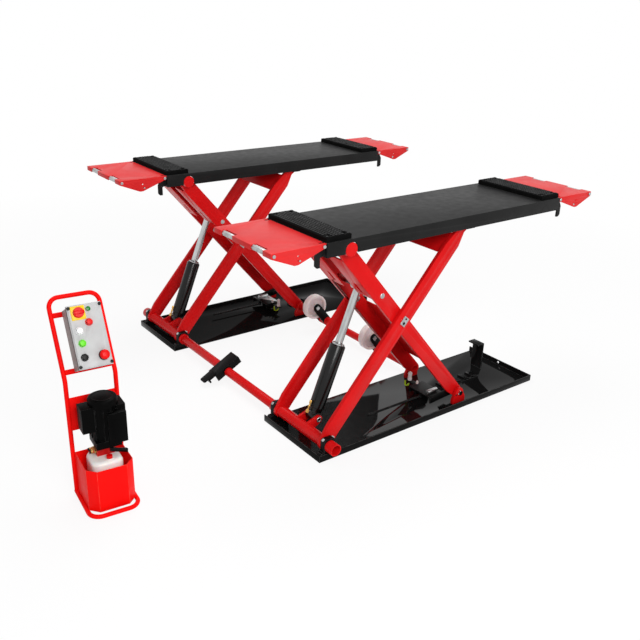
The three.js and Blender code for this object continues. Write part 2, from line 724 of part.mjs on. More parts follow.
function makeGusset(side) {
  const outline = [
    ...arc(hingeX, hingeZ, ramp.eye, -100, 90, coarseSides), [tipX, hingeZ + ramp.eye],
    [tipX, deck.top - ramp.tipLow],
    [deck.start - ramp.deepAt - ramp.slotTall, deck.top - ramp.deep],
    [deck.start - ramp.deepAt, deck.top - ramp.deep],
  ];
  const from = ramp.half - ramp.gusset;
  const near = from - overrun;
  const far = ramp.half + overrun;
  const slotX = deck.start - ramp.deepAt;
  const slotZ = deck.top - ramp.slotHigh;
  const cuts = join([
    sideRod(hingeX, hingeZ, fit(hinge.bolt, coarseSides), near, far, side, coarseSides),
    sideRod(slotX, slotZ, ramp.slotRadius, near, far, side, coarseSides),
    sideRod(slotX, slotZ - ramp.slotTall, ramp.slotRadius, near, far, side, coarseSides),
    sideRod(rodAtX, rodAtZ, fit(ramp.rod, coarseSides), near, far, side, coarseSides),
  ]);
  return sidePlate(outline, from, ramp.half, side).subtract(cuts);
}

function makeRamp() {
  const { start, half, sheet, gusset, tipLow, strutAt, strutLow, strut, lip } = ramp;
  const right = deck.start - start;
  const top = deck.top - gap;
  const low = deck.top - sheet;
  const plate = boxBetween([tipX, -half, low], [right, half, top]);
  const edge = boxBetween([tipX, -half, deck.top - tipLow], [tipX + lip, half, top]);
  const notches = [];
  for (const y of [-rollerAt, rollerAt]) {
    const reachIn = roller.radius + roller.room;
    const wide = roller.half + roller.room;
    notches.push(boxBetween(
      [tipX - overrun, y - wide, deck.top - tipLow - overrun],
      [rodAtX + reachIn, y + wide, deck.top + overrun],
    ));
  }
  for (const side of [1, -1]) {
    const y = (side * (bracketFrom + bracketTo)) / 2;
    notches.push(boxBetween(
      [right - ramp.notch, y - ramp.notchDeep / 2, low - overrun],
      [right + overrun, y + ramp.notchDeep / 2, deck.top + overrun],
    ));
  }
  const inner = half - gusset / 2;
  const strutBar = rodY(deck.start - strutAt, deck.top - strutLow, strut, -inner, inner, coarseSides);
  const sheetWork = join([plate, edge]).subtract(join(notches));
  return join([sheetWork, ...bothSides(makeGusset), strutBar]);
}

// Rod across the ramp tip with the two rollers the ramp runs on
function makeRoller() {
  const rod = rodY(rodAtX, rodAtZ, ramp.rod, -ramp.half, ramp.half, coarseSides);
  const rollers = [-rollerAt, rollerAt].map((y) => rodY(
    rodAtX, rodAtZ, roller.radius, y - roller.half, y + roller.half,
  ));
  return join([rod, ...rollers]);
}
addPair('ramp_left', makeRamp(), paint.red);
addPair('ramp_right', toOtherEnd(makeRamp()), paint.red);
addPair('ramp_roller_left', makeRoller(), paint.steel);
addPair('ramp_roller_right', toOtherEnd(makeRoller()), paint.steel);

// Ram, drawn along X from its foot pin and then turned up to the seat in the inner arms
const raised = (raisedAngle * Math.PI) / 180;
const origin = new THREE.Vector2();
const ramFoot = new THREE.Vector2(ram.pinOut, -ram.pinLow).rotateAround(origin, raised);
ramFoot.add(new THREE.Vector2(0, pivotHeight));
const ramSeat = new THREE.Vector2(seatBoss.distance, 0).rotateAround(origin, -raised);
ramSeat.add(new THREE.Vector2(lugX, topHeight));
const ramLine = ramSeat.sub(ramFoot);
const ramLength = ramLine.length();
const ramAngle = THREE.MathUtils.radToDeg(ramLine.angle());

function placeRam(solid) {
  return solid.rotate([0, -ramAngle, 0]).translate([ramFoot.x, 0, ramFoot.y]);
}

function makeBarrel() {
  const body = rodX(0, 0, ram.barrelRadius, ram.barrelStart, ram.barrelEnd, fineSides);
  const bore = rodX(0, 0, ram.boreRadius, ram.boreStart, ram.glandEnd + overrun, fineSides);
  const eye = rodY(0, 0, ram.eyeRadius, -ram.eyeHalf, ram.eyeHalf, fineSides);
  const neck = rodX(0, 0, ram.eyeRadius, 0, ram.barrelStart + overrun, fineSides);
  const hole = rodY(0, 0, fit(ram.footPin, mediumSides), -ram.barrelRadius, ram.barrelRadius);
  const gland = rodX(0, 0, ram.glandRadius, ram.barrelEnd, ram.glandEnd, fineSides);
  return placeRam(join([body, eye, neck, gland]).subtract(join([bore, hole])));
}
addPair('ram_barrel', makeBarrel(), paint.black);

const rodStart = ram.glandEnd - ram.rodOverlap;
const shaftEnd = innerFrom - ram.shaftRoom;
const ramRod = join([
  rodX(0, 0, ram.rodRadius, rodStart, ramLength, fineSides),
  rodY(ramLength, 0, ram.headRadius, -ram.headHalf, ram.headHalf, fineSides),
  rodY(ramLength, 0, ram.shaftRadius, -shaftEnd, shaftEnd),
]);
addPair('ram_rod', placeRam(ramRod), paint.steel);

// Power unit stand, drawn in its own place and then turned and moved
function placeStand(solid) {
  return solid.rotate([0, 0, stand.turn]).translate([stand.x, stand.y, 0]);
}

function addToStand(name, solid, finish) {
  add(name, placeStand(solid), finish);
}

function makeStandFrame() {
  const { tube: radius, half, waist, top, back, depth, bend, loopBend, sheet } = stand;
  const arch = bentBar([
    [-half, 0, radius], [-half, 0, waist], [-half, back, top], [half, back, top],
    [half, 0, waist], [half, 0, radius],
  ], radius, bend, archSteps);
  const loop = bentBar([
    [-half, radius, radius], [-half, -depth, radius], [half, -depth, radius],
    [half, radius, radius],
  ], radius, loopBend, fineSides);
  const slope = back / (top - waist);
  const bars = [stand.lowBarUp, top - waist - stand.highBarDown].map((up) => {
    const y = up * slope;
    return boxBetween(
      [-half, y - stand.barThick / 2, waist + up - stand.barTall / 2],
      [half, y + stand.barThick / 2, waist + up + stand.barTall / 2],
    );
  });
  const panelTop = waist - stand.panelDown;
  const panelLow = panelTop - stand.panelTall;
  const panel = boxBetween([-half, -sheet / 2, panelLow], [half, sheet / 2, panelTop]);
  return join([arch, loop, ...bars, panel]);
}
addToStand('stand_frame', makeStandFrame(), paint.bright);

function binOutline(inset) {
  const { half, front, back, chamfer } = bin;
  const x = half - inset;
  const y = front - inset;
  return [
    [-x, -back - inset], [-x, chamfer - y], [chamfer - x, -y], [x - chamfer, -y],
    [x, chamfer - y], [x, -back - inset],
  ];
}
const binShell = plateXY(binOutline(0), bin.low, bin.top)
  .subtract(plateXY(binOutline(bin.sheet), bin.low + bin.sheet, bin.top + overrun));
addToStand('stand_bin', binShell, paint.bright);

function makeTank() {
  const { x, y, halfX, halfY, top, bevel } = tank;
  const low = bin.low + bin.sheet + gap;
  const corners = [
    ...arc(x + halfX - bevel * 2, y + halfY - bevel * 2, bevel, 0, 90, fewSteps),
    ...arc(x - halfX + bevel * 2, y + halfY - bevel * 2, bevel, 90, 180, fewSteps),
    ...arc(x - halfX + bevel * 2, y - halfY + bevel * 2, bevel, 180, 270, fewSteps),
    ...arc(x + halfX - bevel * 2, y - halfY + bevel * 2, bevel, 270, 360, fewSteps),
  ];
  const options = {
    depth: top - low - bevel * 2, bevelEnabled: true, bevelSize: bevel, bevelThickness: bevel,
    bevelSegments: fewSteps,
  };
  const geometry = new THREE.ExtrudeGeometry(shapeOf(corners), options);
  geometry.translate(0, 0, low + bevel);
  return solidOf(geometry);
}
addToStand('oil_tank', makeTank(), paint.tank);

const capLow = tank.top + gap;
const tankCap = join([
  rodZ(cap.x, cap.y, cap.radius, capLow, capLow + cap.height),
  boxBetween(
    [cap.x - cap.radius / 3, cap.y - cap.radius * cap.wingShare, capLow],
    [cap.x + cap.radius / 3, cap.y + cap.radius * cap.wingShare, capLow + cap.height],
  ),
]);
addToStand('tank_cap', tankCap, paint.red2);

// Valve block between the tank and the motor, with three hose ports
const valveLow = tank.top + gap;
const valveTop = valveLow + valve.height;

function makeValve() {
  const { x, y, halfX, halfY, port, portOut, midPortShare, chamfer, height } = valve;
  const outline = [
    [x - halfX, y - halfY], [x + halfX - chamfer, y - halfY], [x + halfX, y - halfY + chamfer],
    [x + halfX, y + halfY], [x - halfX, y + halfY],
  ];
  const left = x - halfX;
  const middle = valveLow + height / 2;
  return join([
    plateXY(outline, valveLow, valveTop),
    rodX(y - halfY / 2, middle, port, left - portOut, left + overrun, coarseSides),
    rodX(y, middle, port, left - portOut * midPortShare, left + overrun, coarseSides),
    rodX(y + halfY / 2, middle, port, left - portOut, left + overrun, coarseSides),
  ]);
}
addToStand('valve_block', makeValve(), paint.red2);

// Motor: flange, finned body, fan cover, two side boxes and the front box
function makeMotor() {
  const m = motor;
  const { y } = valve;
  const low = valveTop + gap;
  const bodyLow = low + m.flangeTall;
  const bodyTop = low + m.bodyTop;
  const cover = turned([
    [0, 0], [m.coverRadius, 0], [m.coverRadius, m.coverTall - m.dome],
    [m.coverRadius - m.dome, m.coverTall], [0, m.coverTall + overrun],
  ], fineSides).rotate([90, 0, 0]).translate([m.x, y, bodyTop]);
  const fins = [];
  for (let i = 0; i < m.fins; i += 1) {
    const fin = boxBetween(
      [m.radius - m.finWide, -m.finWide / 2, bodyLow + m.finWide],
      [m.radius + m.finOut, m.finWide / 2, bodyTop - m.finWide],
    );
    fins.push(fin.rotate([0, 0, (360 * i) / m.fins]).translate([m.x, y, 0]));
  }
  const left = m.x - m.radius;
  const right = m.x + m.radius;
  return join([
    boxBetween([m.x - m.flange, y - m.flange, low], [m.x + m.flange, y + m.flange, bodyLow]),
    rodZ(m.x, y, m.radius, bodyLow - overrun, bodyTop + overrun, fineSides),
    cover,
    ...fins,
    boxBetween(
      [left - m.boxLeft, y - m.leftDeep / 2, low + m.leftLow],
      [left + m.join, y + m.leftDeep / 2, low + m.leftLow + m.leftTall],
    ),
    boxBetween(
      [right - m.join, y - m.rightDeep / 2, low + m.rightLow],
      [right + m.boxRight, y + m.rightDeep / 2, low + m.rightLow + m.rightTall],
    ),
    boxBetween(
      [m.x - m.frontIn, y - m.radius - m.frontDeep, low + m.frontLow],
      [m.x + m.frontOut, y, low + m.frontLow + m.frontTall],
    ),
  ]);
}
addToStand('motor', makeMotor(), paint.black);

// Lowering lever on the front of the valve block
const leverX = valve.x + valve.halfX - lever.half - valve.chamfer;
const leverY = valve.y - valve.halfY - gap;
const leverZ = valveLow + valve.height / 2;

function makeLever() {
  const { back, out, drop, half, thick, grip, bolt } = lever;
  const outline = [
    [leverX - back, leverZ - half], [leverX + out, leverZ - drop - grip],
    [leverX + out, leverZ - drop + grip / 2], [leverX - back, leverZ + half],
  ];
  return join([
    plateXZ(outline, leverY - thick, leverY),
    rodY(leverX, leverZ, half, leverY - thick - bolt, leverY),
  ]);
}
addToStand('release_lever', makeLever(), paint.black);

// Control box on the leaning part of the stand: x across, y up the slope, z outward
function addToBox(name, solid, finish) {
  const leanDegrees = (lean * 180) / Math.PI;
  addToStand(name, solid.rotate([leanDegrees, 0, 0]).translate([0, 0, stand.waist]), finish);
}

const boxLeft = box.x - box.half;
const boxRight = box.x + box.half;
const boxFace = box.standOff + box.deep;
const lidLow = boxFace + gap;
const lidTop = lidLow + lid.thick;
const controlBox = boxBetween([boxLeft, box.low, box.standOff], [boxRight, box.high, boxFace])
  .subtract(boxBetween(
    [boxLeft + box.sheet, box.low + box.sheet, box.standOff + box.sheet],
    [boxRight - box.sheet, box.high - box.sheet, boxFace + overrun],
  ));
addToBox('control_box', controlBox, paint.shadeGrey);

function spotAt([acrossShare, upShare]) {
  const middle = (box.low + box.high) / 2;
  const halfHigh = (box.high - box.low) / 2;
  return [box.x + box.half * acrossShare, middle + halfHigh * upShare];
}

function makeLid() {
  const { thick, rim, step } = lid;
  const outside = boxBetween(
    [boxLeft - rim, box.low - rim, lidLow], [boxRight + rim, box.high + rim, lidTop - step],
  );
  const face = boxBetween([boxLeft, box.low, lidLow], [boxRight, box.high, lidLow + thick]);
  const hollow = boxBetween(
    [boxLeft + box.corner, box.low + box.corner, lidLow - overrun],
    [boxRight - box.corner, box.high - box.corner, lidTop - step],
  );
  const stems = [
    [spots.redShares, button.stem], [spots.whiteShares, button.stem],
    [spots.greenShares, button.stem], [spots.blackShares, button.stem],
    [spots.stopShares, stop.stem], [spots.isolatorShares, isolator.stem],
  ].map(([shares, radius]) => {
    const [x, y] = spotAt(shares);
    return rodZ(x, y, fit(radius, mediumSides), lidLow - overrun, lidTop + isolator.sheet + overrun);
  });
  const [plateX, plateY] = spotAt(spots.isolatorShares);
  const plate = boxBetween(
    [plateX - isolator.half, plateY - isolator.half, lidTop - overrun],
    [plateX + isolator.half, plateY + isolator.half, lidTop + isolator.sheet],
  );
  const [lampX, lampY] = spotAt(spots.lampShares);
  const signalLamp = [
    rodZ(lampX, lampY, lamp.collar, lidTop - overrun, lidTop + lamp.collarTall),
    rodZ(lampX, lampY, lamp.radius, lidTop - overrun, lidTop + lamp.height),
  ];
  const solids = [outside, face, plate, ...signalLamp];
  return join(solids).subtract(join([hollow, ...stems]));
}
addToBox('control_lid', makeLid(), paint.grey);

function makeButton(shares) {
  const [x, y] = spotAt(shares);
  const low = lidTop + button.lift;
  return join([
    rodZ(x, y, button.radius, low, low + button.height),
    rodZ(x, y, button.stem, low - button.stemLong, low + overrun, coarseSides),
  ]);
}
addToBox('button_red', makeButton(spots.redShares), paint.red2);
addToBox('button_white', makeButton(spots.whiteShares), paint.white);
addToBox('button_green', makeButton(spots.greenShares), paint.green);
addToBox('button_black', makeButton(spots.blackShares), paint.rubber);

function makeStop() {
  const [x, y] = spotAt(spots.stopShares);
  const low = lidTop + stop.lift;
  const mushroom = turned([
    [0, 0], [stop.crown, 0], [stop.radius, stop.height / 2], [stop.crown, stop.height],
    [0, stop.height + overrun],
  ], mediumSides).rotate([90, 0, 0]).translate([x, y, low]);
  return join([mushroom, rodZ(x, y, stop.stem, low - button.stemLong, low + overrun)]);
}
addToBox('emergency_stop', makeStop(), paint.red2);

// Isolator switch: a round knob with a grip across it
const [isolatorX, isolatorY] = spotAt(spots.isolatorShares);
const knobLow = lidTop + isolator.sheet + gap;
const knobTop = knobLow + isolator.height;
const isolatorKnob = join([
  rodZ(isolatorX, isolatorY, isolator.radius, knobLow, knobTop, fineSides),
  rodZ(isolatorX, isolatorY, isolator.stem, knobLow - button.stemLong, knobLow + overrun),
  boxBetween(
    [isolatorX - isolator.radius, isolatorY - isolator.grip, knobTop - overrun],
    [isolatorX + isolator.radius, isolatorY + isolator.grip, knobTop + isolator.gripTall],
  ),
]);
addToBox('isolator_knob', isolatorKnob, paint.red2);

// Centre the finished set on the origin, standing on the floor
const bounds = new THREE.Box3().setFromObject(set);
const middle = bounds.getCenter(new THREE.Vector3());
for (const mesh of set.children) {
  mesh.geometry.translate(-middle.x, -middle.y, -bounds.min.z);
}

export default set;
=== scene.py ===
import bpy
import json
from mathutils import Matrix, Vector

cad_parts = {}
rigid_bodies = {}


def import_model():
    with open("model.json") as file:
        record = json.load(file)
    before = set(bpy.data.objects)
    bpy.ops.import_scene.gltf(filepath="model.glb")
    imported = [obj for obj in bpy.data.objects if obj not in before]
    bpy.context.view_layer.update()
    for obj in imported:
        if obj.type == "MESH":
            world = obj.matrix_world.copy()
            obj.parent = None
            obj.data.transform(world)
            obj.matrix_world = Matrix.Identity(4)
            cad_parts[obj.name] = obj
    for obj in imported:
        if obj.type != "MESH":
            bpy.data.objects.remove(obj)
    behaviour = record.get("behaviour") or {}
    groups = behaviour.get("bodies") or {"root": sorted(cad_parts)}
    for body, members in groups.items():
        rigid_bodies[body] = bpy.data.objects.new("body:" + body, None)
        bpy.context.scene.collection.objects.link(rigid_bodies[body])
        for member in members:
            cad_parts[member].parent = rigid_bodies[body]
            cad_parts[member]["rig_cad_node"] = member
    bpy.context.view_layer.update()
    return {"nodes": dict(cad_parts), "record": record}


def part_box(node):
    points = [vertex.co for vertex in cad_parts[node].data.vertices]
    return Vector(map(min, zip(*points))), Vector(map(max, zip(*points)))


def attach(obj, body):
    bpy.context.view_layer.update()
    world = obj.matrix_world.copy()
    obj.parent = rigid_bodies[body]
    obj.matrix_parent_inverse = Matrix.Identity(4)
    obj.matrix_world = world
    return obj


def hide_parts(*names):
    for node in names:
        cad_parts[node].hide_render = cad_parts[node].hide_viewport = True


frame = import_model()

# %% [markdown]
# The lift is drawn in metres, in the place its solids already have. A lesson needs few
# imports: bpy for the modelling operators, math for angles, json, which nothing below
# uses, and Vector and Matrix for places and turns.

# %% Imports and a millimetre
import json
import math
import bpy
from mathutils import Matrix, Vector

MM = 0.001
print("one millimetre is", MM)

# %% [markdown]
# The camera stands where the photographer of a product picture would: left of the set,
# at about eye height, looking down a little. The lens is slightly longer than normal,
# and the camera is tipped by a degree or two, as the verticals in the picture show.

# %% Camera
LENS_MM, SENSOR_MM = 43.67, 36
CAMERA_AT = (-2.15700, -3.20810, 1.91320)
camera_data = bpy.data.cameras.new("camera")
camera_data.lens = LENS_MM
camera_data.sensor_width = SENSOR_MM
camera = bpy.data.objects.new("camera", camera_data)
bpy.context.scene.collection.objects.link(camera)
bpy.context.scene.camera = camera

yaw, pitch, roll = (math.radians(v) for v in (37.5, 22.9, 1.8))
ahead = Vector((math.sin(yaw) * math.cos(pitch), math.cos(yaw) * math.cos(pitch),
                -math.sin(pitch)))
level_right = Vector((math.cos(yaw), -math.sin(yaw), 0))
level_up = level_right.cross(ahead)
right = level_right * math.cos(roll) + level_up * math.sin(roll)
up = level_up * math.cos(roll) - level_right * math.sin(roll)
turn = Matrix((right, up, -ahead)).transposed().to_4x4()
camera.matrix_world = Matrix.Translation(CAMERA_AT) @ turn
print("camera looks along", tuple(round(v, 3) for v in ahead))

# %% [markdown]
# Product pictures like this one have a white ground and soft light from all round. A
# large lamp on the left is the key, a lamp from the right keeps the far sides readable
# and one overhead brightens the decks and the red ramps.

# %% Lamps
def soft_lamp(name, place, aim, size, power):
    """A square area lamp at place, facing the point aim."""
    data = bpy.data.lights.new(name, "AREA")
    data.size = size
    data.energy = power
    lamp = bpy.data.objects.new(name, data)
    bpy.context.scene.collection.objects.link(lamp)
    lamp.location = place
    lamp.rotation_euler = (Vector(aim) - Vector(place)).to_track_quat("-Z", "Y").to_euler()
    return lamp


soft_lamp("key_lamp", (-1.3, -4.3, 3.0), (0, 0, 0.5), 2.0, 130)
soft_lamp("side_lamp", (3.8, -2.6, 2.6), (0.2, 0, 0.5), 2.2, 30)
soft_lamp("top_lamp", (0.4, 0.8, 4.2), (0.2, 0, 0.8), 2.6, 80)

# %% [markdown]
# The room round the set is even and pale. The camera, metal and glass see it as plain
# white, while the light that it sheds on the paint is weaker, so the colours stay deep.

# %% World
def add_node(tree, kind, settings=None, links=None):
    """Adds a shader node, sets its sockets or properties, and links outputs into it."""
    made = tree.nodes.new("ShaderNode" + kind)
    for key, value in (settings or {}).items():
        if isinstance(key, int) or key in made.inputs:
            made.inputs[key].default_value = value
        else:
            setattr(made, key, value)
    for key, source in (links or {}).items():
        tree.links.new(source, made.inputs[key])
    return made


world = bpy.data.worlds.new("studio")
bpy.context.scene.world = world
world.use_nodes = True
sky = world.node_tree
sky.nodes.clear()
rays = add_node(sky, "LightPath")
passing = add_node(sky, "Math", {"operation": "MAXIMUM"},
                   {0: rays.outputs["Is Glossy Ray"], 1: rays.outputs["Is Transmission Ray"]})
seen = add_node(sky, "Math", {"operation": "MAXIMUM"},
                {0: rays.outputs["Is Camera Ray"], 1: passing.outputs[0]})
fill = add_node(sky, "Background", {"Color": (0.98, 0.99, 1.0, 1), "Strength": 0.45})
ground = add_node(sky, "Background", {"Color": (1, 1, 1, 1), "Strength": 1.0})
mixed = add_node(sky, "MixShader", None,
                 {0: seen.outputs[0], 1: fill.outputs[0], 2: ground.outputs[0]})
add_node(sky, "OutputWorld", links={"Surface": mixed.outputs[0]})
bpy.context.scene.view_settings.view_transform = "Standard"
print("world nodes", len(sky.nodes))

# %% [markdown]
# The floor is a plain white sweep. To the camera it is nearly as bright as the ground
# behind it, and only the soft shadow under the set shows on it. A few metres out, where
# no shadow falls, it becomes as white as the ground, so no horizon is seen.

# %% Floor
def new_material(name):
    """An empty node material and its tree."""
    material = bpy.data.materials.new(name)
    material.use_nodes = True
    material.node_tree.nodes.clear()
    return material, material.node_tree


floor_paint, tree = new_material("matt_white_sweep")
rays = add_node(tree, "LightPath")
looks = add_node(tree, "Math", {"operation": "MAXIMUM"},
                 {0: rays.outputs["Is Camera Ray"], 1: rays.outputs["Is Glossy Ray"]})
white = add_node(tree, "BsdfDiffuse", {"Color": (0.9, 0.9, 0.9, 1)})
glow = add_node(tree, "Emission", {"Color": (1, 1, 1, 1), "Strength": 1.0})
here = add_node(tree, "TexCoord").outputs["Object"]
away = add_node(tree, "VectorMath", {"operation": "LENGTH"}, {0: here})
level = add_node(tree, "MapRange",
                 {"From Min": 1.8, "From Max": 4.5, "To Min": 0.88, "To Max": 1.0},
                 {"Value": away.outputs["Value"]})
share = add_node(tree, "Math", {"operation": "MULTIPLY"},
                 {0: looks.outputs[0], 1: level.outputs[0]})
mixed = add_node(tree, "MixShader", None,
                 {0: share.outputs[0], 1: white.outputs[0], 2: glow.outputs[0]})
add_node(tree, "OutputMaterial", links={"Surface": mixed.outputs[0]})
bpy.ops.object.select_all(action="DESELECT")
bpy.ops.mesh.primitive_plane_add(size=60, location=(0, 0, -0.0005))
floor = bpy.context.object
floor.name = "floor"
floor.data.materials.append(floor_paint)
print("floor", tuple(floor.dimensions))

# %% [markdown]
# Paints and plastics are known by their screen colours, so each is written as an sRGB
# hex value. Shaders work in linear light, and one function turns one into the other.

# %% Colours
def to_linear(hex_colour):
    """sRGB hex value to the linear colour that a shader reads."""
    parts = [int(hex_colour[i:i + 2], 16) / 255 for i in (1, 3, 5)]
    return (*[c / 12.92 if c <= 0.04045 else ((c + 0.055) / 1.055) ** 2.4 for c in parts], 1.0)


print("enamel red in linear light", tuple(round(v, 3) for v in to_linear("#C81A1A")))

# %% [markdown]
# The finishes of the lift are alike in kind: two close shades that drift into one
# another, an uneven gloss and a fine relief, each after a noise whose size is known in
# millimetres. So one function builds them all, and each finish below gives its own
# sizes. The noises hang on Object coordinates, so they stay on a part when it moves.

# %% A patterned finish
def patterned(name, shades, spread, noises, roughness, swing, relief, settings, stretch=None):
    """A material with two shades, an uneven gloss and a fine relief.

    spread is where the two shades lie on the noise, noises are (size in mm, detail) for
    shade, gloss and relief, swing is the least and the most of the roughness as factors,
    and relief is (strength, depth in mm)."""
    material, tree = new_material(name)
    place = add_node(tree, "TexCoord").outputs["Object"]
    if stretch:
        place = add_node(tree, "Mapping", {"Scale": stretch}, {"Vector": place}).outputs[0]
    made = {}
    for size_mm, detail in dict.fromkeys(noises):
        made[size_mm, detail] = add_node(
            tree, "TexNoise", {"Scale": 1 / (size_mm * MM), "Detail": detail},
            {"Vector": place}).outputs["Fac"]
    for_shade, for_gloss, for_relief = (made[noise] for noise in noises)
    shade = add_node(tree, "ValToRGB", links={"Fac": for_shade})
    for stop, position, colour in zip(shade.color_ramp.elements, spread, shades):
        stop.position = position
        stop.color = to_linear(colour)
    gloss = add_node(tree, "MapRange",
                     {"To Min": roughness * swing[0], "To Max": min(roughness * swing[1], 1.0)},
                     {"Value": for_gloss})
    bump = add_node(tree, "Bump", {"Strength": relief[0], "Distance": relief[1] * MM},
                    {"Height": for_relief})
    shader = add_node(tree, "BsdfPrincipled", settings,
                      {"Base Color": shade.outputs["Color"], "Roughness": gloss.outputs["Result"],
                       "Normal": bump.outputs["Normal"]})
    add_node(tree, "OutputMaterial", links={"Surface": shader.outputs[0]})
    return material


print("one builder for all finishes")

# %% [markdown]
# Most of the lift is steel sprayed with enamel. It shows a deep colour under a thin
# gloss, a very slight change of shade from one area to the next, and the fine unevenness
# that sprayers call orange peel. The peel is about 1.5 mm across on the real paint, too
# fine to show at this distance, so it is drawn as 6 mm. Dust dulls the gloss in soft
# patches of a few centimetres. The shine is weaker than bare lacquer's, because the
# pale room would wash out the colour on every face that mirrors it.

# %% Enamel
SHADE_MM, DUST_MM, PEEL_MM = 180, 35, 6


def enamel(name, dark, light, roughness, shine, peel=0.05):
    """Sprayed paint on steel: a drift of shade, dull patches of dust, orange peel."""
    return patterned(name, (dark, light), (0.35, 0.65),
                     ((SHADE_MM, 3), (DUST_MM, 4), (PEEL_MM, 1)), roughness, (0.8, 1.25),
                     (peel, 0.4), {"IOR": 1.5, "Specular IOR Level": shine})


red_enamel = enamel("gloss_enamel_red", "#C80E10", "#D41416", 0.3, 0.1)
ramp_enamel = enamel("gloss_enamel_ramp_red", "#CC2022", "#D62828", 0.4, 0.15)
stand_enamel = enamel("powder_coat_bright_red", "#F20A08", "#FA100C", 0.45, 0.06)
base_enamel = enamel("gloss_enamel_black", "#111111", "#171717", 0.05, 0.028, peel=0.01)
deck_enamel = enamel("satin_enamel_black", "#171717", "#1D1D1D", 0.45, 0.08, peel=0.1)
bracket_enamel = enamel("satin_enamel_black_brackets", "#0B0B0B", "#121212", 0.34, 0.07)
barrel_enamel = enamel("gloss_enamel_black_barrel", "#070707", "#0C0C0C", 0.2, 0.28)
motor_enamel = enamel("satin_enamel_motor_black", "#040404", "#080808", 0.4, 0.03)
block_enamel = enamel("satin_enamel_valve_red", "#A80E0E", "#BC1414", 0.4, 0.15)
box_enamel = enamel("powder_coat_grey", "#8A8280", "#96908E", 0.5, 0.2)
print("enamels", len(bpy.data.materials))

# %% [markdown]
# Along the cut edges of arms and trays the enamel is thin and worn, and a paler, duller
# line of a millimetre or so is painted there, broken in patches. It is partly wear and partly
# a painted highlight, and that line is what draws the edges of the arms. Its dullness is even.

# %% Worn edges
EDGE_PATCH_MM = 28


def edge_wear_and_highlight(name, paint, worn_and_highlit, roughness):
    """Edge of painted steel: the paint colour, broken up by patches of a paler tone that is partly
    wear and partly painted highlight.
    """
    return patterned(name, (paint, worn_and_highlit), (0.38, 0.6), ((EDGE_PATCH_MM, 5),) * 3, roughness, (1, 1),
                     (0.2, 0.2), {"IOR": 1.5, "Specular IOR Level": 0.15})


# Paler edge tones: worn enamel together with a painted highlight.
red_edge = edge_wear_and_highlight("edge_wear_and_highlight_red", "#D42420", "#E8665C", 0.45)
stand_edge = edge_wear_and_highlight("edge_wear_and_highlight_bright_red", "#F01410", "#F04A3C", 0.45)
black_edge = edge_wear_and_highlight("edge_wear_and_highlight_black", "#161616", "#444444", 0.4)
grey_edge = edge_wear_and_highlight("edge_wear_and_highlight_grey", "#A09A98", "#C8C4C2", 0.45)
edge_of = {stand_enamel: stand_edge, box_enamel: grey_edge}
edge_of.update(dict.fromkeys((red_enamel, ramp_enamel, block_enamel), red_edge))
edge_of.update(dict.fromkeys(
    (base_enamel, deck_enamel, bracket_enamel, barrel_enamel, motor_enamel), black_edge))
print("edges for", len(edge_of), "enamels")

# %% [markdown]
# Rods, rollers and pins are bare plated steel. Chrome on a ram rod is ground and
# polished along its turning, zinc on a lock plate is duller with a faint bluish mottle,
# and the hose fittings are turned brass. Grain, gloss and marks share one noise.

# %% Bare metal
def bright_metal(name, dark, light, roughness, grain_mm, stretch=None, marks=0.04):
    """Plated or turned metal, its grain stretched along one direction where it is ground."""
    return patterned(name, (dark, light), (0.3, 0.7), ((grain_mm, 4),) * 3, roughness,
                     (0.8, 1.25), (marks, 0.2), {"Metallic": 1.0}, stretch)


rod_chrome = bright_metal("hard_chrome_ground", "#B4B9B9", "#CDD1D1", 0.3, 30, (1, 1, 0.15), 0.02)
zinc_plate = bright_metal("zinc_plated_steel", "#9A9C9C", "#C2C4C4", 0.36, 14)
brass = bright_metal("turned_brass", "#B58B45", "#D2AA66", 0.32, 8)
print("bare metals", rod_chrome.name, zinc_plate.name, brass.name)

# %% [markdown]
# Moulded parts are plainer: cast nylon wheels, a moulded tank, the lid of the control box
# and its buttons. Plastic shows a fine pebbled skin and no clear coat; nylon and the tank
# let a little light in, which softens their shade.

# %% Moulded plastic and rubber
DRIFT_MM = 60


def moulded(name, dark, light, roughness, skin_mm=4, depth=0.08, inside=0.0, shine=0.3):
    """Moulded plastic or rubber with a pebbled skin."""
    return patterned(name, (dark, light), (0.35, 0.65),
                     ((DRIFT_MM, 3), (skin_mm, 2), (skin_mm, 2)), roughness, (0.9, 1.15),
                     (depth, 0.3), {"IOR": 1.49, "Specular IOR Level": shine,
                                    "Subsurface Weight": inside, "Subsurface Scale": 2 * MM})


pad_rubber = moulded("moulded_rubber_black", "#060606", "#0B0B0B", 0.8, 3, 0.3, shine=0.05)
tread_rubber = moulded("scuffed_rubber_tread", "#2A2A2A", "#3C3C3C", 0.75, 3, 0.3, shine=0.1)
cast_nylon = moulded("cast_nylon_pale", "#DFD0CF", "#EEE3E1", 0.4, 5, 0.06, 0.15)
tank_plastic = moulded("blow_moulded_tank_white", "#E4DFDB", "#F3EFEC", 0.3, 6, 0.06, 0.15)
lid_plastic = moulded("moulded_abs_grey", "#B4B4B4", "#C0C0C0", 0.42)
red_plastic = moulded("moulded_plastic_red", "#D80808", "#E80C0C", 0.3, shine=0.15)
white_plastic = moulded("moulded_plastic_white", "#F2F2F2", "#FAFAFA", 0.3)
green_plastic = moulded("moulded_plastic_green", "#58CC10", "#6CE01E", 0.3, shine=0.2)
lens_plastic = moulded("moulded_lens_dark_green", "#086A1C", "#0E7C28", 0.2, shine=0.3)
black_plastic = moulded("moulded_plastic_black", "#050505", "#0C0C0C", 0.32, shine=0.12)
yellow_plastic = moulded("moulded_plastic_yellow", "#F0C408", "#FBD71C", 0.34)
hose_green = moulded("extruded_air_hose_green", "#9DB81C", "#B4CC2E", 0.4)
print("finishes made in all", len(bpy.data.materials))

# %% [markdown]
# An operator acts on all that is selected, so one function picks a single piece, and
# another moves a piece by a matrix and puts the move into its mesh. Sharp edges are
# rounded by a bevel that touches only edges steeper than 40 degrees.

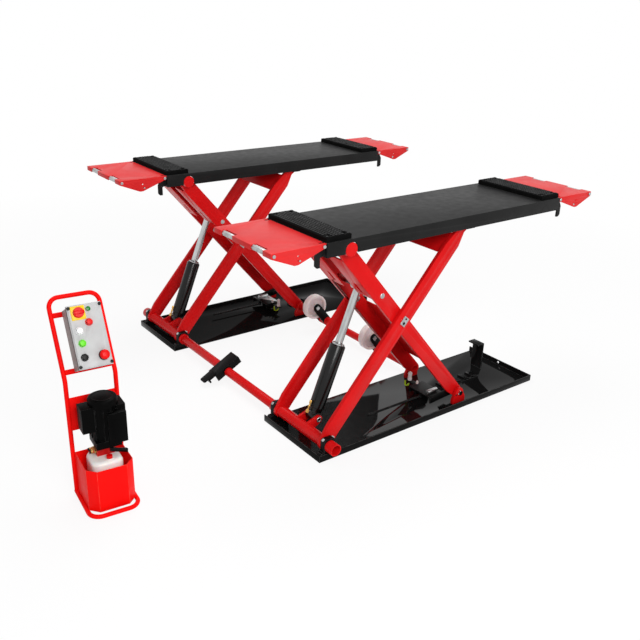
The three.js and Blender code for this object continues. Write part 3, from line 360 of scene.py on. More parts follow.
# %% Picking, laying and rounding
def pick(piece=None):
    """Leaves object mode and selects one piece, or nothing, so operators act on it only."""
    if bpy.context.object and bpy.context.object.mode != "OBJECT":
        bpy.ops.object.mode_set(mode="OBJECT")
    bpy.ops.object.select_all(action="DESELECT")
    if piece:
        piece.select_set(True)
        bpy.context.view_layer.objects.active = piece


def laid(piece, matrix):
    """Lays a piece drawn at the origin by a matrix, and leaves its object at the origin."""
    piece.matrix_world = matrix
    pick(piece)
    bpy.ops.object.transform_apply()
    return piece


def open_whole():
    """Opens the active piece in edit mode with all of it selected."""
    bpy.ops.object.mode_set(mode="EDIT")
    bpy.ops.mesh.select_all(action="SELECT")


def close_outwards():
    """Turns all faces of the open piece outwards, leaves edit mode, gives the piece."""
    bpy.ops.mesh.select_all(action="SELECT")
    bpy.ops.mesh.normals_make_consistent(inside=False)
    bpy.ops.object.mode_set(mode="OBJECT")
    return bpy.context.object


def round_edges(piece, width_mm, finish=-1):
    """Rounds the sharp edges of the active piece, in one of its finishes."""
    rounding = piece.modifiers.new("edge", "BEVEL")
    rounding.width = width_mm * MM
    rounding.segments = 2
    rounding.limit_method = "ANGLE"
    rounding.angle_limit = math.radians(40)
    rounding.material = finish
    bpy.ops.object.modifier_apply(modifier=rounding.name)


print("helpers ready for", len(frame["nodes"]), "solids")

# %% [markdown]
# A folded or cut steel part has no knife edge: the sheet is rounded where it is bent and
# where the paint builds up, and that thin rounding catches the light. So each solid is
# copied, its loose triangles are merged into flat faces, its edges get a narrow bevel
# in the paler edge finish of wear and painted highlight, and the copy stands for the solid.
# The solid itself is untouched.

# %% Finishing a solid
UNITS = ("front", "rear")
SMOOTH = 34


def body_of(node):
    """The rigid body that a solid belongs to."""
    return next(b for b, nodes in frame["record"]["behaviour"]["bodies"].items() if node in nodes)


def merged_copy(node):
    """A copy of a solid in its place, its triangles merged into flat faces."""
    pick(frame["nodes"][node])
    bpy.ops.object.duplicate()
    piece = bpy.context.object
    del piece["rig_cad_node"]
    piece.parent = None
    piece.name = piece.data.name = node + "_finished"
    piece.data.materials.clear()
    open_whole()
    bpy.ops.mesh.remove_doubles(threshold=0.02 * MM)
    bpy.ops.mesh.dissolve_limited(angle_limit=math.radians(1))
    return close_outwards()


def finished_copy(node, material, edge_mm=0.8, drill=None):
    """A merged copy with narrow rounded edges that stands for its solid.

    The drill is (centre, axis, radius in mm, length in mm) of a hole through the copy."""
    piece = merged_copy(node)
    if drill:
        centre, axis, radius, length = drill
        pick()
        bpy.ops.mesh.primitive_cylinder_add(
            vertices=24, radius=radius * MM, depth=length * MM, location=centre,
            rotation=Vector(axis).to_track_quat("Z", "Y").to_euler())
        bit = bpy.context.object
        bpy.context.view_layer.objects.active = piece
        cut = piece.modifiers.new("hole", "BOOLEAN")
        cut.operation = "DIFFERENCE"
        cut.object = bit
        bpy.ops.object.modifier_apply(modifier=cut.name)
        bpy.data.objects.remove(bit)
    pick(piece)
    piece.data.materials.append(material)
    # The bevel faces get the paler edge finish, partly wear and partly a painted highlight.
    piece.data.materials.append(edge_of.get(material, material))
    round_edges(piece, edge_mm, finish=1)
    bpy.ops.object.shade_smooth_by_angle(angle=math.radians(SMOOTH))
    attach(piece, body_of(node))
    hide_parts(node)
    return piece


def paint_faces(piece, material, inside):
    """Gives a second finish to the faces whose centre passes a test."""
    piece.data.materials.append(material)
    count = 0
    for face in piece.data.polygons:
        if inside(face.center):
            face.material_index = len(piece.data.materials) - 1
            count += 1
    return count


# %% [markdown]
# The second unit is the first one mirrored across the plane halfway between them. All
# places below are millimetres from the fixed pivot line of the front unit, as on a
# drawing of the lift, and one function turns them into places in the scene.

# %% Places on the drawing
HOME = Vector((-312.1011, -690, 0))
SPACING = 1380
ARM_ANGLE = math.radians(49)
LOWER_HALF, UPPER_HALF, PIVOT_HEIGHT = 650, 541, 62
REACH = LOWER_HALF + UPPER_HALF
FOOT_X = 2 * LOWER_HALF * math.cos(ARM_ANGLE)
LUG_X = (LOWER_HALF - UPPER_HALF) * math.cos(ARM_ANGLE)
LUG_Z = PIVOT_HEIGHT + REACH * math.sin(ARM_ANGLE)
DECK_TOP = LUG_Z + 46
DECK_START, DECK_END = -54, 1396
SIDES = {"outer": -1, "inner": 1}


def spot(x, y, z, unit="front"):
    """Place in the scene of a point on the drawing, mirrored for the rear unit."""
    return (HOME + Vector((x, SPACING - y if unit == "rear" else y, z))) * MM


def across(side, unit="front"):
    """Direction along the pivots: side is 1 towards the other unit and -1 away from it."""
    return Vector((0, -side if unit == "rear" else side, 0))


def on_outer_arm(along, up):
    """X and Z of a point given along an outer arm from its foot, and up from its line."""
    c, s = math.cos(ARM_ANGLE), math.sin(ARM_ANGLE)
    return along * c - up * s, PIVOT_HEIGHT + along * s + up * c


print("foot", round(FOOT_X, 1), "lug", round(LUG_X, 1), round(LUG_Z, 1))

# %% [markdown]
# A new piece gets its name, finish, shading and body in one go.


def keep(piece, name, material, body="base", smooth=SMOOTH):
    """Gives a newly modelled piece its name, finish, shading and body."""
    piece.name = name
    piece.data.name = name
    piece.data.materials.clear()
    piece.data.materials.append(material)
    bpy.ops.object.shade_smooth_by_angle(angle=math.radians(smooth))
    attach(piece, body)
    return piece


def keep_for(node, piece, name, material):
    """Keeps a new piece that stands for a solid, with that solid's body, and hides the solid."""
    keep(piece, name, material, body_of(node))
    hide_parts(node)


# %% [markdown]
# Round parts come off a lathe. The outline is drawn point by point from a single vertex
# and spun round its axis; then the part is laid along its real axis. An outline whose
# ends are both off the axis makes a ring, so it is closed first.

# %% A turned part
ORIGIN, UP = (0, 0, 0), (0, 0, 1)


def spun(outline, steps, foot=ORIGIN, toward=UP):
    """Spins an outline of (radius, distance along) in mm round the line foot-toward."""
    if outline[0][0] and outline[-1][0]:
        outline = outline + outline[:1]
    pick()
    bpy.ops.mesh.primitive_plane_add(size=MM)
    piece = bpy.context.object
    bpy.ops.object.mode_set(mode="EDIT")
    bpy.ops.mesh.select_mode(type="VERT")
    bpy.ops.mesh.merge(type="CENTER")
    bpy.ops.transform.translate(value=(outline[0][0] * MM, 0, outline[0][1] * MM))
    for before, after in zip(outline, outline[1:]):
        step = ((after[0] - before[0]) * MM, 0, (after[1] - before[1]) * MM)
        bpy.ops.mesh.extrude_region_move(TRANSFORM_OT_translate={"value": step})
    bpy.ops.mesh.select_all(action="SELECT")
    bpy.ops.mesh.spin(steps=steps, angle=math.tau, center=ORIGIN, axis=UP)
    bpy.ops.mesh.select_all(action="SELECT")
    bpy.ops.mesh.remove_doubles(threshold=0.01 * MM)
    close_outwards()
    piece.rotation_euler = Vector(toward).to_track_quat("Z", "Y").to_euler()
    piece.location = foot
    bpy.ops.object.transform_apply()
    return piece


print("lathe ready")

# %% [markdown]
# Boxes and covers are folded or moulded, with rounded corners. A cube is set at its size
# and place and its edges are bevelled in edit mode. A thin plate is better raised from a
# flat one: its corners are rounded by themselves, and an inset leaves only its rim.

# %% A rounded block and a plate
def stretched(add, low, high):
    """A unit cube or plane that an operator adds, stretched between two corners in metres."""
    pick()
    add(size=1, location=(low + high) / 2)
    bpy.context.object.scale = [size or 1 for size in high - low]
    bpy.ops.object.transform_apply()
    return bpy.context.object


def block(low, high, edge_mm, segments=3, matrix=Matrix()):
    """A cube between two corners in mm with rounded edges, placed by a matrix."""
    piece = stretched(bpy.ops.mesh.primitive_cube_add, Vector(low) * MM, Vector(high) * MM)
    if edge_mm:
        open_whole()
        bpy.ops.mesh.bevel(offset=edge_mm * MM, segments=segments, affect="EDGES")
        bpy.ops.object.mode_set(mode="OBJECT")
    return laid(piece, matrix)


def flat_plate(low, high, edge_mm, corner=0, rim=0, matrix=Matrix()):
    """A plate between two corners in mm, its own corners rounded, or open inside a rim."""
    low, high = Vector(low) * MM, Vector(high) * MM
    piece = stretched(bpy.ops.mesh.primitive_plane_add, low, Vector((*high.xy, low.z)))
    open_whole()
    bpy.ops.mesh.select_mode(type="FACE")
    if corner:
        bpy.ops.mesh.bevel(offset=corner * MM, segments=6, affect="VERTICES")
    if rim:
        bpy.ops.mesh.inset(thickness=rim * MM)
        bpy.ops.mesh.delete(type="ONLY_FACE")
        bpy.ops.mesh.select_all(action="SELECT")
    rise = {"value": (0, 0, high.z - low.z)}
    bpy.ops.mesh.extrude_region_move(TRANSFORM_OT_translate=rise)
    round_edges(close_outwards(), edge_mm)
    return laid(piece, matrix)


print("block and plate helpers ready")

# %% [markdown]
# Bent tubes are drawn the way a bender works: a ring of the tube's section is pushed
# straight, swung round a former, and pushed straight again.

# %% A bent tube
def bent_tube(radius, start, heading, moves, sides):
    """Tube from start along heading; moves are ("run", mm) or ("bend", mm, axis, degrees)."""
    pick()
    point, heading = Vector(start), Vector(heading).normalized()
    bpy.ops.mesh.primitive_circle_add(
        vertices=sides, radius=radius * MM, fill_type="NGON", location=point * MM,
        rotation=heading.to_track_quat("Z", "Y").to_euler())
    bpy.ops.object.transform_apply()
    open_whole()
    for kind, size, *way in moves:
        if kind == "run":
            step = heading * size
            bpy.ops.mesh.extrude_region_move(TRANSFORM_OT_translate={"value": step * MM})
            point = point + step
        else:
            axis, degrees = Vector(way[0]).normalized(), way[1]
            centre = point + axis.cross(heading) * size
            swing = Matrix.Rotation(math.radians(degrees), 3, axis)
            bpy.ops.mesh.spin(steps=max(3, int(degrees / 9)), angle=-math.radians(degrees),
                              center=centre * MM, axis=axis)
            point = centre + swing @ (point - centre)
            heading = swing @ heading
    print("tube ends at", tuple(round(c) for c in point))
    return close_outwards()


print("bender ready")

# %% [markdown]
# Fasteners are drawn once each and then copied, every copy with its own mesh: a hexagon
# head, a plain round pin end, a square nut, a small round-headed screw and the square end
# of a pivot pin. Each stands on its seat at the origin and points up, so placing one is a
# turn and a move. Their edges shade flat above 20 degrees, as small forgings do.

# %% Fasteners
CRISP = 20


def copied(template, foot, toward, name, material, body="base", turn=0.0,
           smooth=CRISP):
    """One more of a template, with its own mesh, laid on its seat."""
    pick(template)
    bpy.ops.object.duplicate()
    aim = Vector(toward).to_track_quat("Z", "Y").to_matrix().to_4x4()
    piece = laid(bpy.context.object,
                 Matrix.Translation(foot) @ aim @ Matrix.Rotation(turn, 4, "Z"))
    return keep(piece, name, material, body, smooth)


hex_head = spun([(0, 0), (7.6, 0), (8, 0.6), (8, 4.2), (7.2, 5), (0, 5.2)], 6)
pin_end = spun([(0, 0), (12.5, 0), (12.5, 0.6), (11.4, 1.6), (0, 1.7)], 28)
square_nut = spun([(0, 0), (13.4, 0), (14.1, 1), (14.1, 7), (12.6, 8.4), (0, 8.6)], 4)
round_screw = spun([(0, 0), (4.4, 0), (4.4, 1.2), (3.2, 2.6), (0, 3)], 16)
square_key = spun([(0, 0), (8.8, 0), (8.8, 7.8), (8, 8.4), (0, 8.4)], 4)
templates = [hex_head, pin_end, square_nut, round_screw, square_key]
print("fastener templates", [len(t.data.polygons) for t in templates])

# %% [markdown]
# The base trays are folded sheet under gloss black, clean enough to mirror the arms. The
# right wall of the front tray has one round hole. Arms, frames and tube share the red
# enamel, with a slightly wider rounding, because the plates are thick.

# %% Trays, frames and decks
wall_drill = (spot(1366.5, 4, 19), (1, 0, 0), 6.5, 12)
for unit in UNITS:
    finished_copy(f"base_tray_{unit}", base_enamel, 1.0, wall_drill if unit == "front" else None)
    for name, material, edge_mm in (
        ("outer_frame", red_enamel, 1.5), ("inner_frame", red_enamel, 1.5),
        ("lock_pawl", bracket_enamel, 0.6), ("top_slide", bracket_enamel, 1.0),
        ("deck", deck_enamel, 1.5), ("ram_rod", rod_chrome, 0.8),
        ("bearing_block_outer", bracket_enamel, 1.2), ("centre_pin_outer", zinc_plate, 0.9),
        ("bearing_block_inner", bracket_enamel, 1.2), ("centre_pin_inner", zinc_plate, 0.9),
        ("ramp_left", ramp_enamel, 1.0), ("ramp_roller_left", zinc_plate, 0.6),
        ("ramp_right", ramp_enamel, 1.0), ("ramp_roller_right", zinc_plate, 0.6),
    ):
        finished_copy(f"{name}_{unit}", material, edge_mm)

# %% [markdown]
# The sliding foot is red where it belongs to the arm and black where the lock sits: the
# carrier, its pin and the link rod are blackened, and the small lock cylinder is bare.

# %% Sliding feet
ARM_SIDE = -150
LOCK_X, LOCK_Y, LOCK_Z = (FOOT_X - 143, FOOT_X - 77), (-107, -83), (55, 79)
for unit in UNITS:
    facing, home_y = across(1, unit).y / MM, spot(0, 0, 0, unit).y
    low, high = (spot(x, 0, z) for x, z in zip(LOCK_X, LOCK_Z))
    carrier = finished_copy(f"lock_carrier_{unit}", bracket_enamel)
    red = paint_faces(carrier, red_enamel, lambda c: (c.y - home_y) * facing < ARM_SIDE)
    bare = paint_faces(
        carrier, zinc_plate, lambda c: low.x < c.x < high.x and low.z < c.z < high.z
        and LOCK_Y[0] < (c.y - home_y) * facing < LOCK_Y[1])
    finished_copy(f"foot_shoe_{unit}", red_enamel, 1.0)
    print(unit, "carrier faces red", red, "bare", bare)

# %% [markdown]
# The wheel bar is the same red tube, but the two forks welded to it are black. The fork
# faces are the ones that lie further from the bar's axis than its collars reach. The tow
# tongue hangs from the connecting tube and ends in a plate with rounded corners.

# %% Wheel bar and tubes
COLLAR_MM = 28
TONGUE_TILT = math.radians(-28.7)
bar_piece = finished_copy("wheel_bar", red_enamel, 1.0)
bar_axis = spot(FOOT_X, 0, PIVOT_HEIGHT)
forks = paint_faces(bar_piece, bracket_enamel, lambda c: math.hypot(
    c.x - bar_axis.x, c.z - bar_axis.z) > COLLAR_MM * MM)
finished_copy("connecting_tube", red_enamel)
finished_copy("tow_tongue", bracket_enamel, 1.2)
along_tongue = (Matrix.Translation(spot(0, 700, PIVOT_HEIGHT))
                @ Matrix.Rotation(TONGUE_TILT, 4, "Y"))
nose = flat_plate((-136, -25, 32.3), (-56, 25, 37.6), 1.2, 11, 0, along_tongue)
keep(nose, "tongue_nose", bracket_enamel, body_of("tow_tongue"))
print("fork faces", forks)

# %% [markdown]
# A transport wheel is cast nylon, turned true: a rounded tread, a deep dish on each face
# and a hub that stands a little proud. It is one outline spun round the axle.

# %% Transport wheels
FORK_FACE = 30.5
HALF_WHEEL = [(8.2, 20.4), (18.4, 20.4), (20, 18.6), (21, 8), (24, 4.6), (50, 4), (54.6, 6),
              (58, 17), (61, 20.4), (69, 20.4), (72.8, 19), (74.4, 15)]
wheel_outline = [(r, -z) for r, z in HALF_WHEEL] + [(r, z) for r, z in reversed(HALF_WHEEL)]
for unit in UNITS:
    low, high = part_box(f"wheel_{unit}")
    centre = (Vector(low) + Vector(high)) / 2
    wheel = spun(wheel_outline, 64, centre, (0, 1, 0))
    keep_for(f"wheel_{unit}", wheel, f"nylon_wheel_{unit}", cast_nylon)
    for name, template, out, turn in (("bolt", square_nut, -1, math.radians(-8)),
                                      ("nut", hex_head, 1, 0.3)):
        copied(template, centre + Vector((0, out * FORK_FACE * MM, 0)), (0, out, 0),
               f"wheel_{name}_{unit}", zinc_plate, body_of("wheel_bar"), turn=turn)
print("wheels and their bolts done")

# %% [markdown]
# The ram barrel is a drawn tube with a bright gland screwed into its end, and the rod
# that slides in it is chromed. A brass fitting takes the hose near the barrel's foot: a
# hexagon, a cone and a union nut, in line with the barrel.

# %% Rams
RAM_FOOT = Vector((65.941, 0, 92.129))
RAM_ANGLE = math.radians(68.587)
RAM_AXIS = Vector((math.cos(RAM_ANGLE), 0, math.sin(RAM_ANGLE)))
RAM_SIDE = Vector((-math.sin(RAM_ANGLE), 0, math.cos(RAM_ANGLE)))
EAR_FACE = -42
HEX_SMOOTH = 25
SKIN = [(28, 46), (35, 46), (36.6, 48), (36.6, 352), (33, 358), (28, 358)]
GLAND = [(18.3, 357), (27.5, 357), (28.6, 358.4), (28.6, 363.6), (27, 365.2), (18.3, 365.2)]
UNION = [(0, 0), (7.5, 0), (8.5, 1), (8.5, 15), (7.5, 16), (4.2, 17), (3.6, 26), (5, 31),
         (5.4, 34), (4.6, 38), (3.4, 41), (3.4, 46), (6, 47), (6.4, 60), (5.4, 62), (0, 62)]
ELBOW = [(0, 0), (5, 0), (5.6, 0.8), (5.6, 21), (0, 21)]
PIN_RING = [(6.5, 0), (12.5, 0), (13.5, 1), (13.5, 3), (12, 4.4), (7.4, 4.4), (6.5, 3.6)]
PIN_CORE = [(0, 0), (7.2, 0), (7.2, 3), (0, 3)]
for unit in UNITS:
    barrel, arms = body_of(f"ram_barrel_{unit}"), body_of(f"outer_frame_{unit}")
    finished_copy(f"ram_barrel_{unit}", barrel_enamel)
    ear = spot(RAM_FOOT.x, EAR_FACE, RAM_FOOT.z, unit)
    foot, low_end, side_end = (spot(*(RAM_FOOT + RAM_AXIS * along + RAM_SIDE * up), unit)
                               for along, up in ((0, 0), (14, 46), (24, 52)))
    outwards = across(-1, unit)
    for name, outline, seat, toward, steps, material, body, slot in (
        ("barrel_skin", SKIN, foot, RAM_AXIS, 48, barrel_enamel, barrel, None),
        ("gland_ring", GLAND, foot, RAM_AXIS, 48, zinc_plate, barrel, "bright_steel"),
        ("ram_union", UNION, low_end, RAM_AXIS, 6, brass, barrel, "bright_steel"),
        ("ram_elbow", ELBOW, side_end, -RAM_SIDE, 20, zinc_plate, barrel, None),
        ("ram_pin_ring", PIN_RING, ear, outwards, 32, zinc_plate, arms, None),
        ("ram_pin_core", PIN_CORE, ear, outwards, 24, motor_enamel, arms, "black_paint"),
    ):
        keep(spun(outline, steps, seat, toward), f"{name}_{unit}", material, body,
             HEX_SMOOTH if steps == 6 else SMOOTH)

# %% [markdown]
# Small bright heads show on the painted arms: the ends of the ram's cross shaft,
# 352 mm down the inner arms, the lock plates of the centre pins with their bolts, the
# square nuts on the sliding feet and the bolts on the shoulders of the bearing blocks.

# %% Heads on the arms and blocks
SHAFT_MM = 352
SHAFT_FACE, KEY_FACE, LOCK_FACE, SHOE_FACE, AXLE_FACE = 164, 180.6, 188.3, 184, 192.5
SHOULDER_X, BLOCK_Y, SHOULDER_Z = 26, 200, 93
shaft_x, shaft_z = (LUG_X + SHAFT_MM * math.cos(ARM_ANGLE), LUG_Z - SHAFT_MM * math.sin(ARM_ANGLE))
bolt_x, bolt_z = on_outer_arm(LOWER_HALF + 13, 2)
key_x, key_z = on_outer_arm(LOWER_HALF - 9, -1)


def dot(template, x, y, z, unit, name, material, node, turn=0.0):
    """Seats a fastener on a face that looks along the pivots, away from the unit's middle."""
    toward = across(math.copysign(1, y), unit)
    return copied(template, spot(x, y, z, unit), toward, f"{name}_{unit}", material,
                  body_of(node), turn)


for unit in UNITS:
    foot = f"lock_carrier_{unit}"
    for side, out in SIDES.items():
        pin = f"centre_pin_{side}_{unit}"
        dot(pin_end, shaft_x, out * SHAFT_FACE, shaft_z, unit, f"shaft_end_{side}", zinc_plate,
            f"inner_frame_{unit}")
        dot(round_screw, bolt_x, out * LOCK_FACE, bolt_z, unit, f"lock_bolt_{side}",
            bracket_enamel, pin)
        dot(square_key, key_x, out * KEY_FACE, key_z, unit, f"pin_square_{side}", motor_enamel,
            pin, -across(out, unit).y * (math.radians(45) + ARM_ANGLE))
        for number, slope in enumerate((-1, 1)):
            seat = spot(slope * SHOULDER_X, out * BLOCK_Y, SHOULDER_Z, unit)
            copied(hex_head, seat, (slope, 0, 1), f"block_bolt_{side}_{number}_{unit}",
                   zinc_plate, turn=0.4 * number)
    dot(square_nut, FOOT_X, -SHOE_FACE, PIVOT_HEIGHT, unit, "foot_nut", zinc_plate, foot, turn=0.2)
    dot(pin_end, FOOT_X, -AXLE_FACE, PIVOT_HEIGHT, unit, "foot_pin_end", motor_enamel, foot)
    dot(round_screw, FOOT_X - 24, -SHOE_FACE, PIVOT_HEIGHT - 8, unit, "foot_screw",
        bracket_enamel, foot)

# %% [markdown]
# The arch in the deck's skirt looks onto the head of the inner arm. The head carries a
# round plate, a little wider than the arm, and further out a boss that fills the arch.
# Both are turned about the deck pivot's own line, so they turn there with the arm.

# %% Arm heads in the skirt
HEAD_FACE, PLATE_FACE = 149, 187
HEAD_PLATE = [(12.6, 0), (38, 0), (39.6, 1.4), (39.6, 14.6), (38.4, 15.8), (12.6, 15.8)]
HEAD_BOSS = [(0, 0), (28, 0), (30.4, 2), (30.4, 29.6), (28.4, 31.4), (0, 31.6)]
for unit in UNITS:
    for side, out in SIDES.items():
        for name, face, outline in (("plate", HEAD_FACE, HEAD_PLATE),
                                    ("boss", PLATE_FACE, HEAD_BOSS)):
            disc = spun(outline, 48, spot(LUG_X, out * face, LUG_Z, unit), across(out, unit))
            keep(disc, f"head_{name}_{side}_{unit}", red_enamel, body_of(f"inner_frame_{unit}"))

# %% [markdown]
# Ramps turn on hinge bolts in the deck's end brackets, and the roller rod ends in nuts on
# the gussets. A strut crosses under each ramp and shows as a small bright end.

# %% Heads on the ramps
GUSSET_FACE = 213.3
HINGE = (DECK_START - 12, DECK_TOP - 12)
ROLLER = (DECK_START - 250, DECK_TOP - 12)
STRUT = (DECK_START - 128, DECK_TOP - 50)
for unit in UNITS:
    for end in ("left", "right"):
        for side, out in SIDES.items():
            for name, (x, z), node, template in (
                ("hinge_head", HINGE, "deck", hex_head),
                ("roller_nut", ROLLER, f"ramp_roller_{end}", hex_head),
                ("strut_end", STRUT, f"ramp_{end}", round_screw),
            ):
                if end == "right":
                    x = DECK_START + DECK_END - x
                dot(template, x, out * GUSSET_FACE, z, unit, f"{name}_{end}_{side}", zinc_plate,
                    f"{node}_{unit}")

# %% [markdown]
# The rubber pads carry the car's sills. Their top is cut into small square blocks so that
# water and grit can leave: a grid whose squares are inset by half a groove and then
# pushed up. The pad below is the solid's copy, with its top let down to the groove floor.
# Four bolts hold each pad, and the tread leaves room for their heads.

# %% Tread of the rubber pads
def pick_parts(piece, kind, wanted):
    """Opens a piece in edit mode with only those faces or edges selected that pass a test."""
    pick(piece)
    bpy.ops.object.mode_set(mode="EDIT")
    bpy.ops.mesh.select_mode(type=kind)
    bpy.ops.mesh.select_all(action="DESELECT")
    bpy.ops.object.mode_set(mode="OBJECT")
    for part in piece.data.polygons if kind == "FACE" else piece.data.edges:
        part.select = wanted(part)
    bpy.ops.object.mode_set(mode="EDIT")


TREAD_MM, GROOVE_MM, BLOCKS_ACROSS, BLOCKS_ALONG = 2.5, 4.2, 8, 27
MARGIN, BOLT_IN, BOLT_ROOM, BOLT_DEPTH = 6 * MM, 22 * MM, 12.5 * MM, 9 * MM
for unit in UNITS:
    for end in ("left", "right"):
        node = f"deck_pad_{end}_{unit}"
        pad = merged_copy(node)
        low, high = (Vector(v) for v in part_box(node))
        for vertex in pad.data.vertices:
            if vertex.co.z > high.z - 6 * MM:
                vertex.co.z -= TREAD_MM * MM
        keep_for(node, pad, node + "_body", pad_rubber)
        pick()
        bpy.ops.mesh.primitive_grid_add(
            x_subdivisions=BLOCKS_ACROSS, y_subdivisions=BLOCKS_ALONG, size=1,
            location=(*((low + high) / 2).xy, high.z - (TREAD_MM - 0.02) * MM))
        tread = bpy.context.object
        tread.scale = (high.x - low.x - MARGIN, high.y - low.y - MARGIN, 1)
        bpy.ops.object.transform_apply()
        bolts = [Vector((x, y)) for x in (low.x + BOLT_IN, high.x - BOLT_IN)
                 for y in (low.y + BOLT_IN, high.y - BOLT_IN)]
        pick_parts(tread, "FACE", lambda face: min(
            (face.center.xy - bolt).length for bolt in bolts) < BOLT_ROOM)
        bpy.ops.mesh.delete(type="FACE")
        bpy.ops.mesh.select_all(action="SELECT")
        bpy.ops.mesh.inset(thickness=GROOVE_MM / 2 * MM, use_individual=True)
        rise = {"value": (0, 0, (TREAD_MM - 0.3) * MM)}
        bpy.ops.mesh.extrude_region_move(TRANSFORM_OT_translate=rise)
        bpy.ops.object.mode_set(mode="OBJECT")
        keep(tread, node + "_tread", pad_rubber, body_of(node))
        paint_faces(tread, tread_rubber, lambda c: c.z > high.z - 0.4 * MM)
        for number, bolt in enumerate(bolts):
            copied(round_screw, (*bolt, high.z - BOLT_DEPTH), UP,
                   f"{node}_bolt_{number}", zinc_plate, body_of(node), smooth=SMOOTH)
print("tread faces per pad", len(tread.data.polygons))

# %% [markdown]
# Behind the lock carrier, on a bracket, stands the small air cylinder that lifts the
# pawl. It is pale nylon, with a loop of yellow-green air hose under its foot. The hose
# is a short fixed loop, so it is a bent tube on the carrier.

# %% Air cylinder and its hose
AIR_X, AIR_Y, AIR_Z = FOOT_X - 103, 75, 51.6
AIR_BRACKET = ((AIR_X - 16, 20.3, 45.8), (AIR_X + 16, 90, 51.4))
CYLINDER = [(0, 0), (10, 0), (11, 1.4), (11, 12), (9.6, 13), (9.6, 33), (11, 34), (11, 42),
            (9, 44), (4, 44.6), (4, 50), (0, 50)]
NIPPLE = [(0, 0), (6, 0), (6.6, 1), (6.6, 14), (5, 16), (0, 16)]
for unit in UNITS:
    carrier_body = body_of(f"lock_carrier_{unit}")
    ends = [spot(*corner, unit) / MM for corner in AIR_BRACKET]
    low, high = ([choose(pair) for pair in zip(*ends)] for choose in (min, max))
    keep(block(low, high, 1, 2), f"air_bracket_{unit}", bracket_enamel, carrier_body)
    cylinder = spun(CYLINDER, 32, spot(AIR_X, AIR_Y, AIR_Z, unit))
    keep(cylinder, f"air_cylinder_{unit}", cast_nylon, carrier_body)
    nipple = spun(NIPPLE, 6, spot(AIR_X - 5, 14, 58, unit))
    keep(nipple, f"air_nipple_{unit}", cast_nylon, carrier_body, smooth=CRISP)
    hose = bent_tube(4.4, spot(AIR_X, AIR_Y, AIR_Z - 6, unit) / MM, (0, 0, -1),
                     [("run", 4), ("bend", 16, (0, 1, 0), 180), ("run", 16)], 14)
    keep(hose, f"air_hose_{unit}", hose_green, carrier_body)

# %% [markdown]
# The power unit stands beside the lift, turned a few degrees. Its own pieces are drawn
# upright at the origin, in millimetres from the middle of the stand's posts, and laid in
# place by one matrix. The control box has a second one, as it leans back on the posts.

# %% Places on the stand
STAND_WAIST, STAND_TOP, STAND_BACK = 511, 796, 157
LEAN = math.atan2(STAND_TOP - STAND_WAIST, STAND_BACK)
ON_STAND = (Matrix.Translation(spot(-912.4, 151.5, 0))
            @ Matrix.Rotation(math.radians(-5.4), 4, "Z"))
ON_BOX = ON_STAND @ Matrix.Translation((0, 0, STAND_WAIST * MM)) @ Matrix.Rotation(LEAN, 4, "X")
print("stand leans back by", round(90 - math.degrees(LEAN), 1), "degrees")

# %% [markdown]
# The stand is one size of steel tube, bent cold on a former and powder coated: an arch
# for the posts and handle, and a loop for the floor. The bender's moves are the way it
# is drawn, so bends have the true round shape and no seam.

# %% Stand tubes
TUBE_MM, HALF_MM, BEND_MM, LOOP_BEND_MM, LOOP_MM = 9, 98, 40, 46, 211
waist_turn = 90 - math.degrees(LEAN)
waist_trim = BEND_MM * math.tan(math.radians(waist_turn) / 2)
over = Vector((0, math.cos(LEAN), math.sin(LEAN))).cross(Vector((1, 0, 0)))
post_run = STAND_WAIST - TUBE_MM - waist_trim
slope_run = math.hypot(STAND_TOP - STAND_WAIST, STAND_BACK) - waist_trim - BEND_MM
arch = bent_tube(TUBE_MM, (-HALF_MM, 0, TUBE_MM), UP, [
    ("run", post_run), ("bend", BEND_MM, (-1, 0, 0), waist_turn), ("run", slope_run),
    ("bend", BEND_MM, over, 90), ("run", 2 * HALF_MM - 2 * BEND_MM), ("bend", BEND_MM, over, 90),
    ("run", slope_run), ("bend", BEND_MM, (1, 0, 0), waist_turn), ("run", post_run)], 24)
keep_for("stand_frame", laid(arch, ON_STAND), "stand_arch", stand_enamel)
side_run = LOOP_MM + TUBE_MM - LOOP_BEND_MM
loop = bent_tube(TUBE_MM, (-HALF_MM, TUBE_MM, TUBE_MM), (0, -1, 0), [
    ("run", side_run), ("bend", LOOP_BEND_MM, UP, 90), ("run", 2 * HALF_MM - 2 * LOOP_BEND_MM),
    ("bend", LOOP_BEND_MM, UP, 90), ("run", side_run)], 24)
keep(laid(loop, ON_STAND), "stand_loop", stand_enamel)
print("stand tubes bent, waist turned by", round(waist_turn, 1), "degrees")

# %% [markdown]
# Two flat bars cross the leaning part and carry the control box, and a sheet closes the
# posts below the waist. All three have rolled edges about a millimetre round.

# %% Stand bars and back sheet
slope = STAND_BACK / (STAND_TOP - STAND_WAIST)
high_bar = STAND_TOP - STAND_WAIST - 60
for name, y, z, half_thick, half_high, edge_mm in (
    ("bar_low", 29 * slope, 29, 3, 10.5, 1.2),
    ("bar_high", high_bar * slope, high_bar, 3, 10.5, 1.2),
    ("back_sheet", 0, -146.5, 1.5, 72.5, 0.7),
):
    bar = block((-HALF_MM, y - half_thick, STAND_WAIST + z - half_high),
                (HALF_MM, y + half_thick, STAND_WAIST + z + half_high), edge_mm, 2, ON_STAND)
    keep(bar, f"stand_{name}", stand_enamel)
finished_copy("stand_bin", stand_enamel, 0.9)
print("stand pieces done")

# %% [markdown]
# The tank is blow moulded, so no edge of it is sharp: its upright corners are round over
# 30 mm and its top and bottom over 18 mm. A short neck stands round the red filler cap.

# %% Oil tank
tank = block((-64, -168, 19.5), (60, -44, 216), 0)


def rise_of(edge):
    """How much higher one end of a tank edge is than the other."""
    ends = [tank.data.vertices[v].co.z for v in edge.vertices]
    return abs(ends[0] - ends[1])


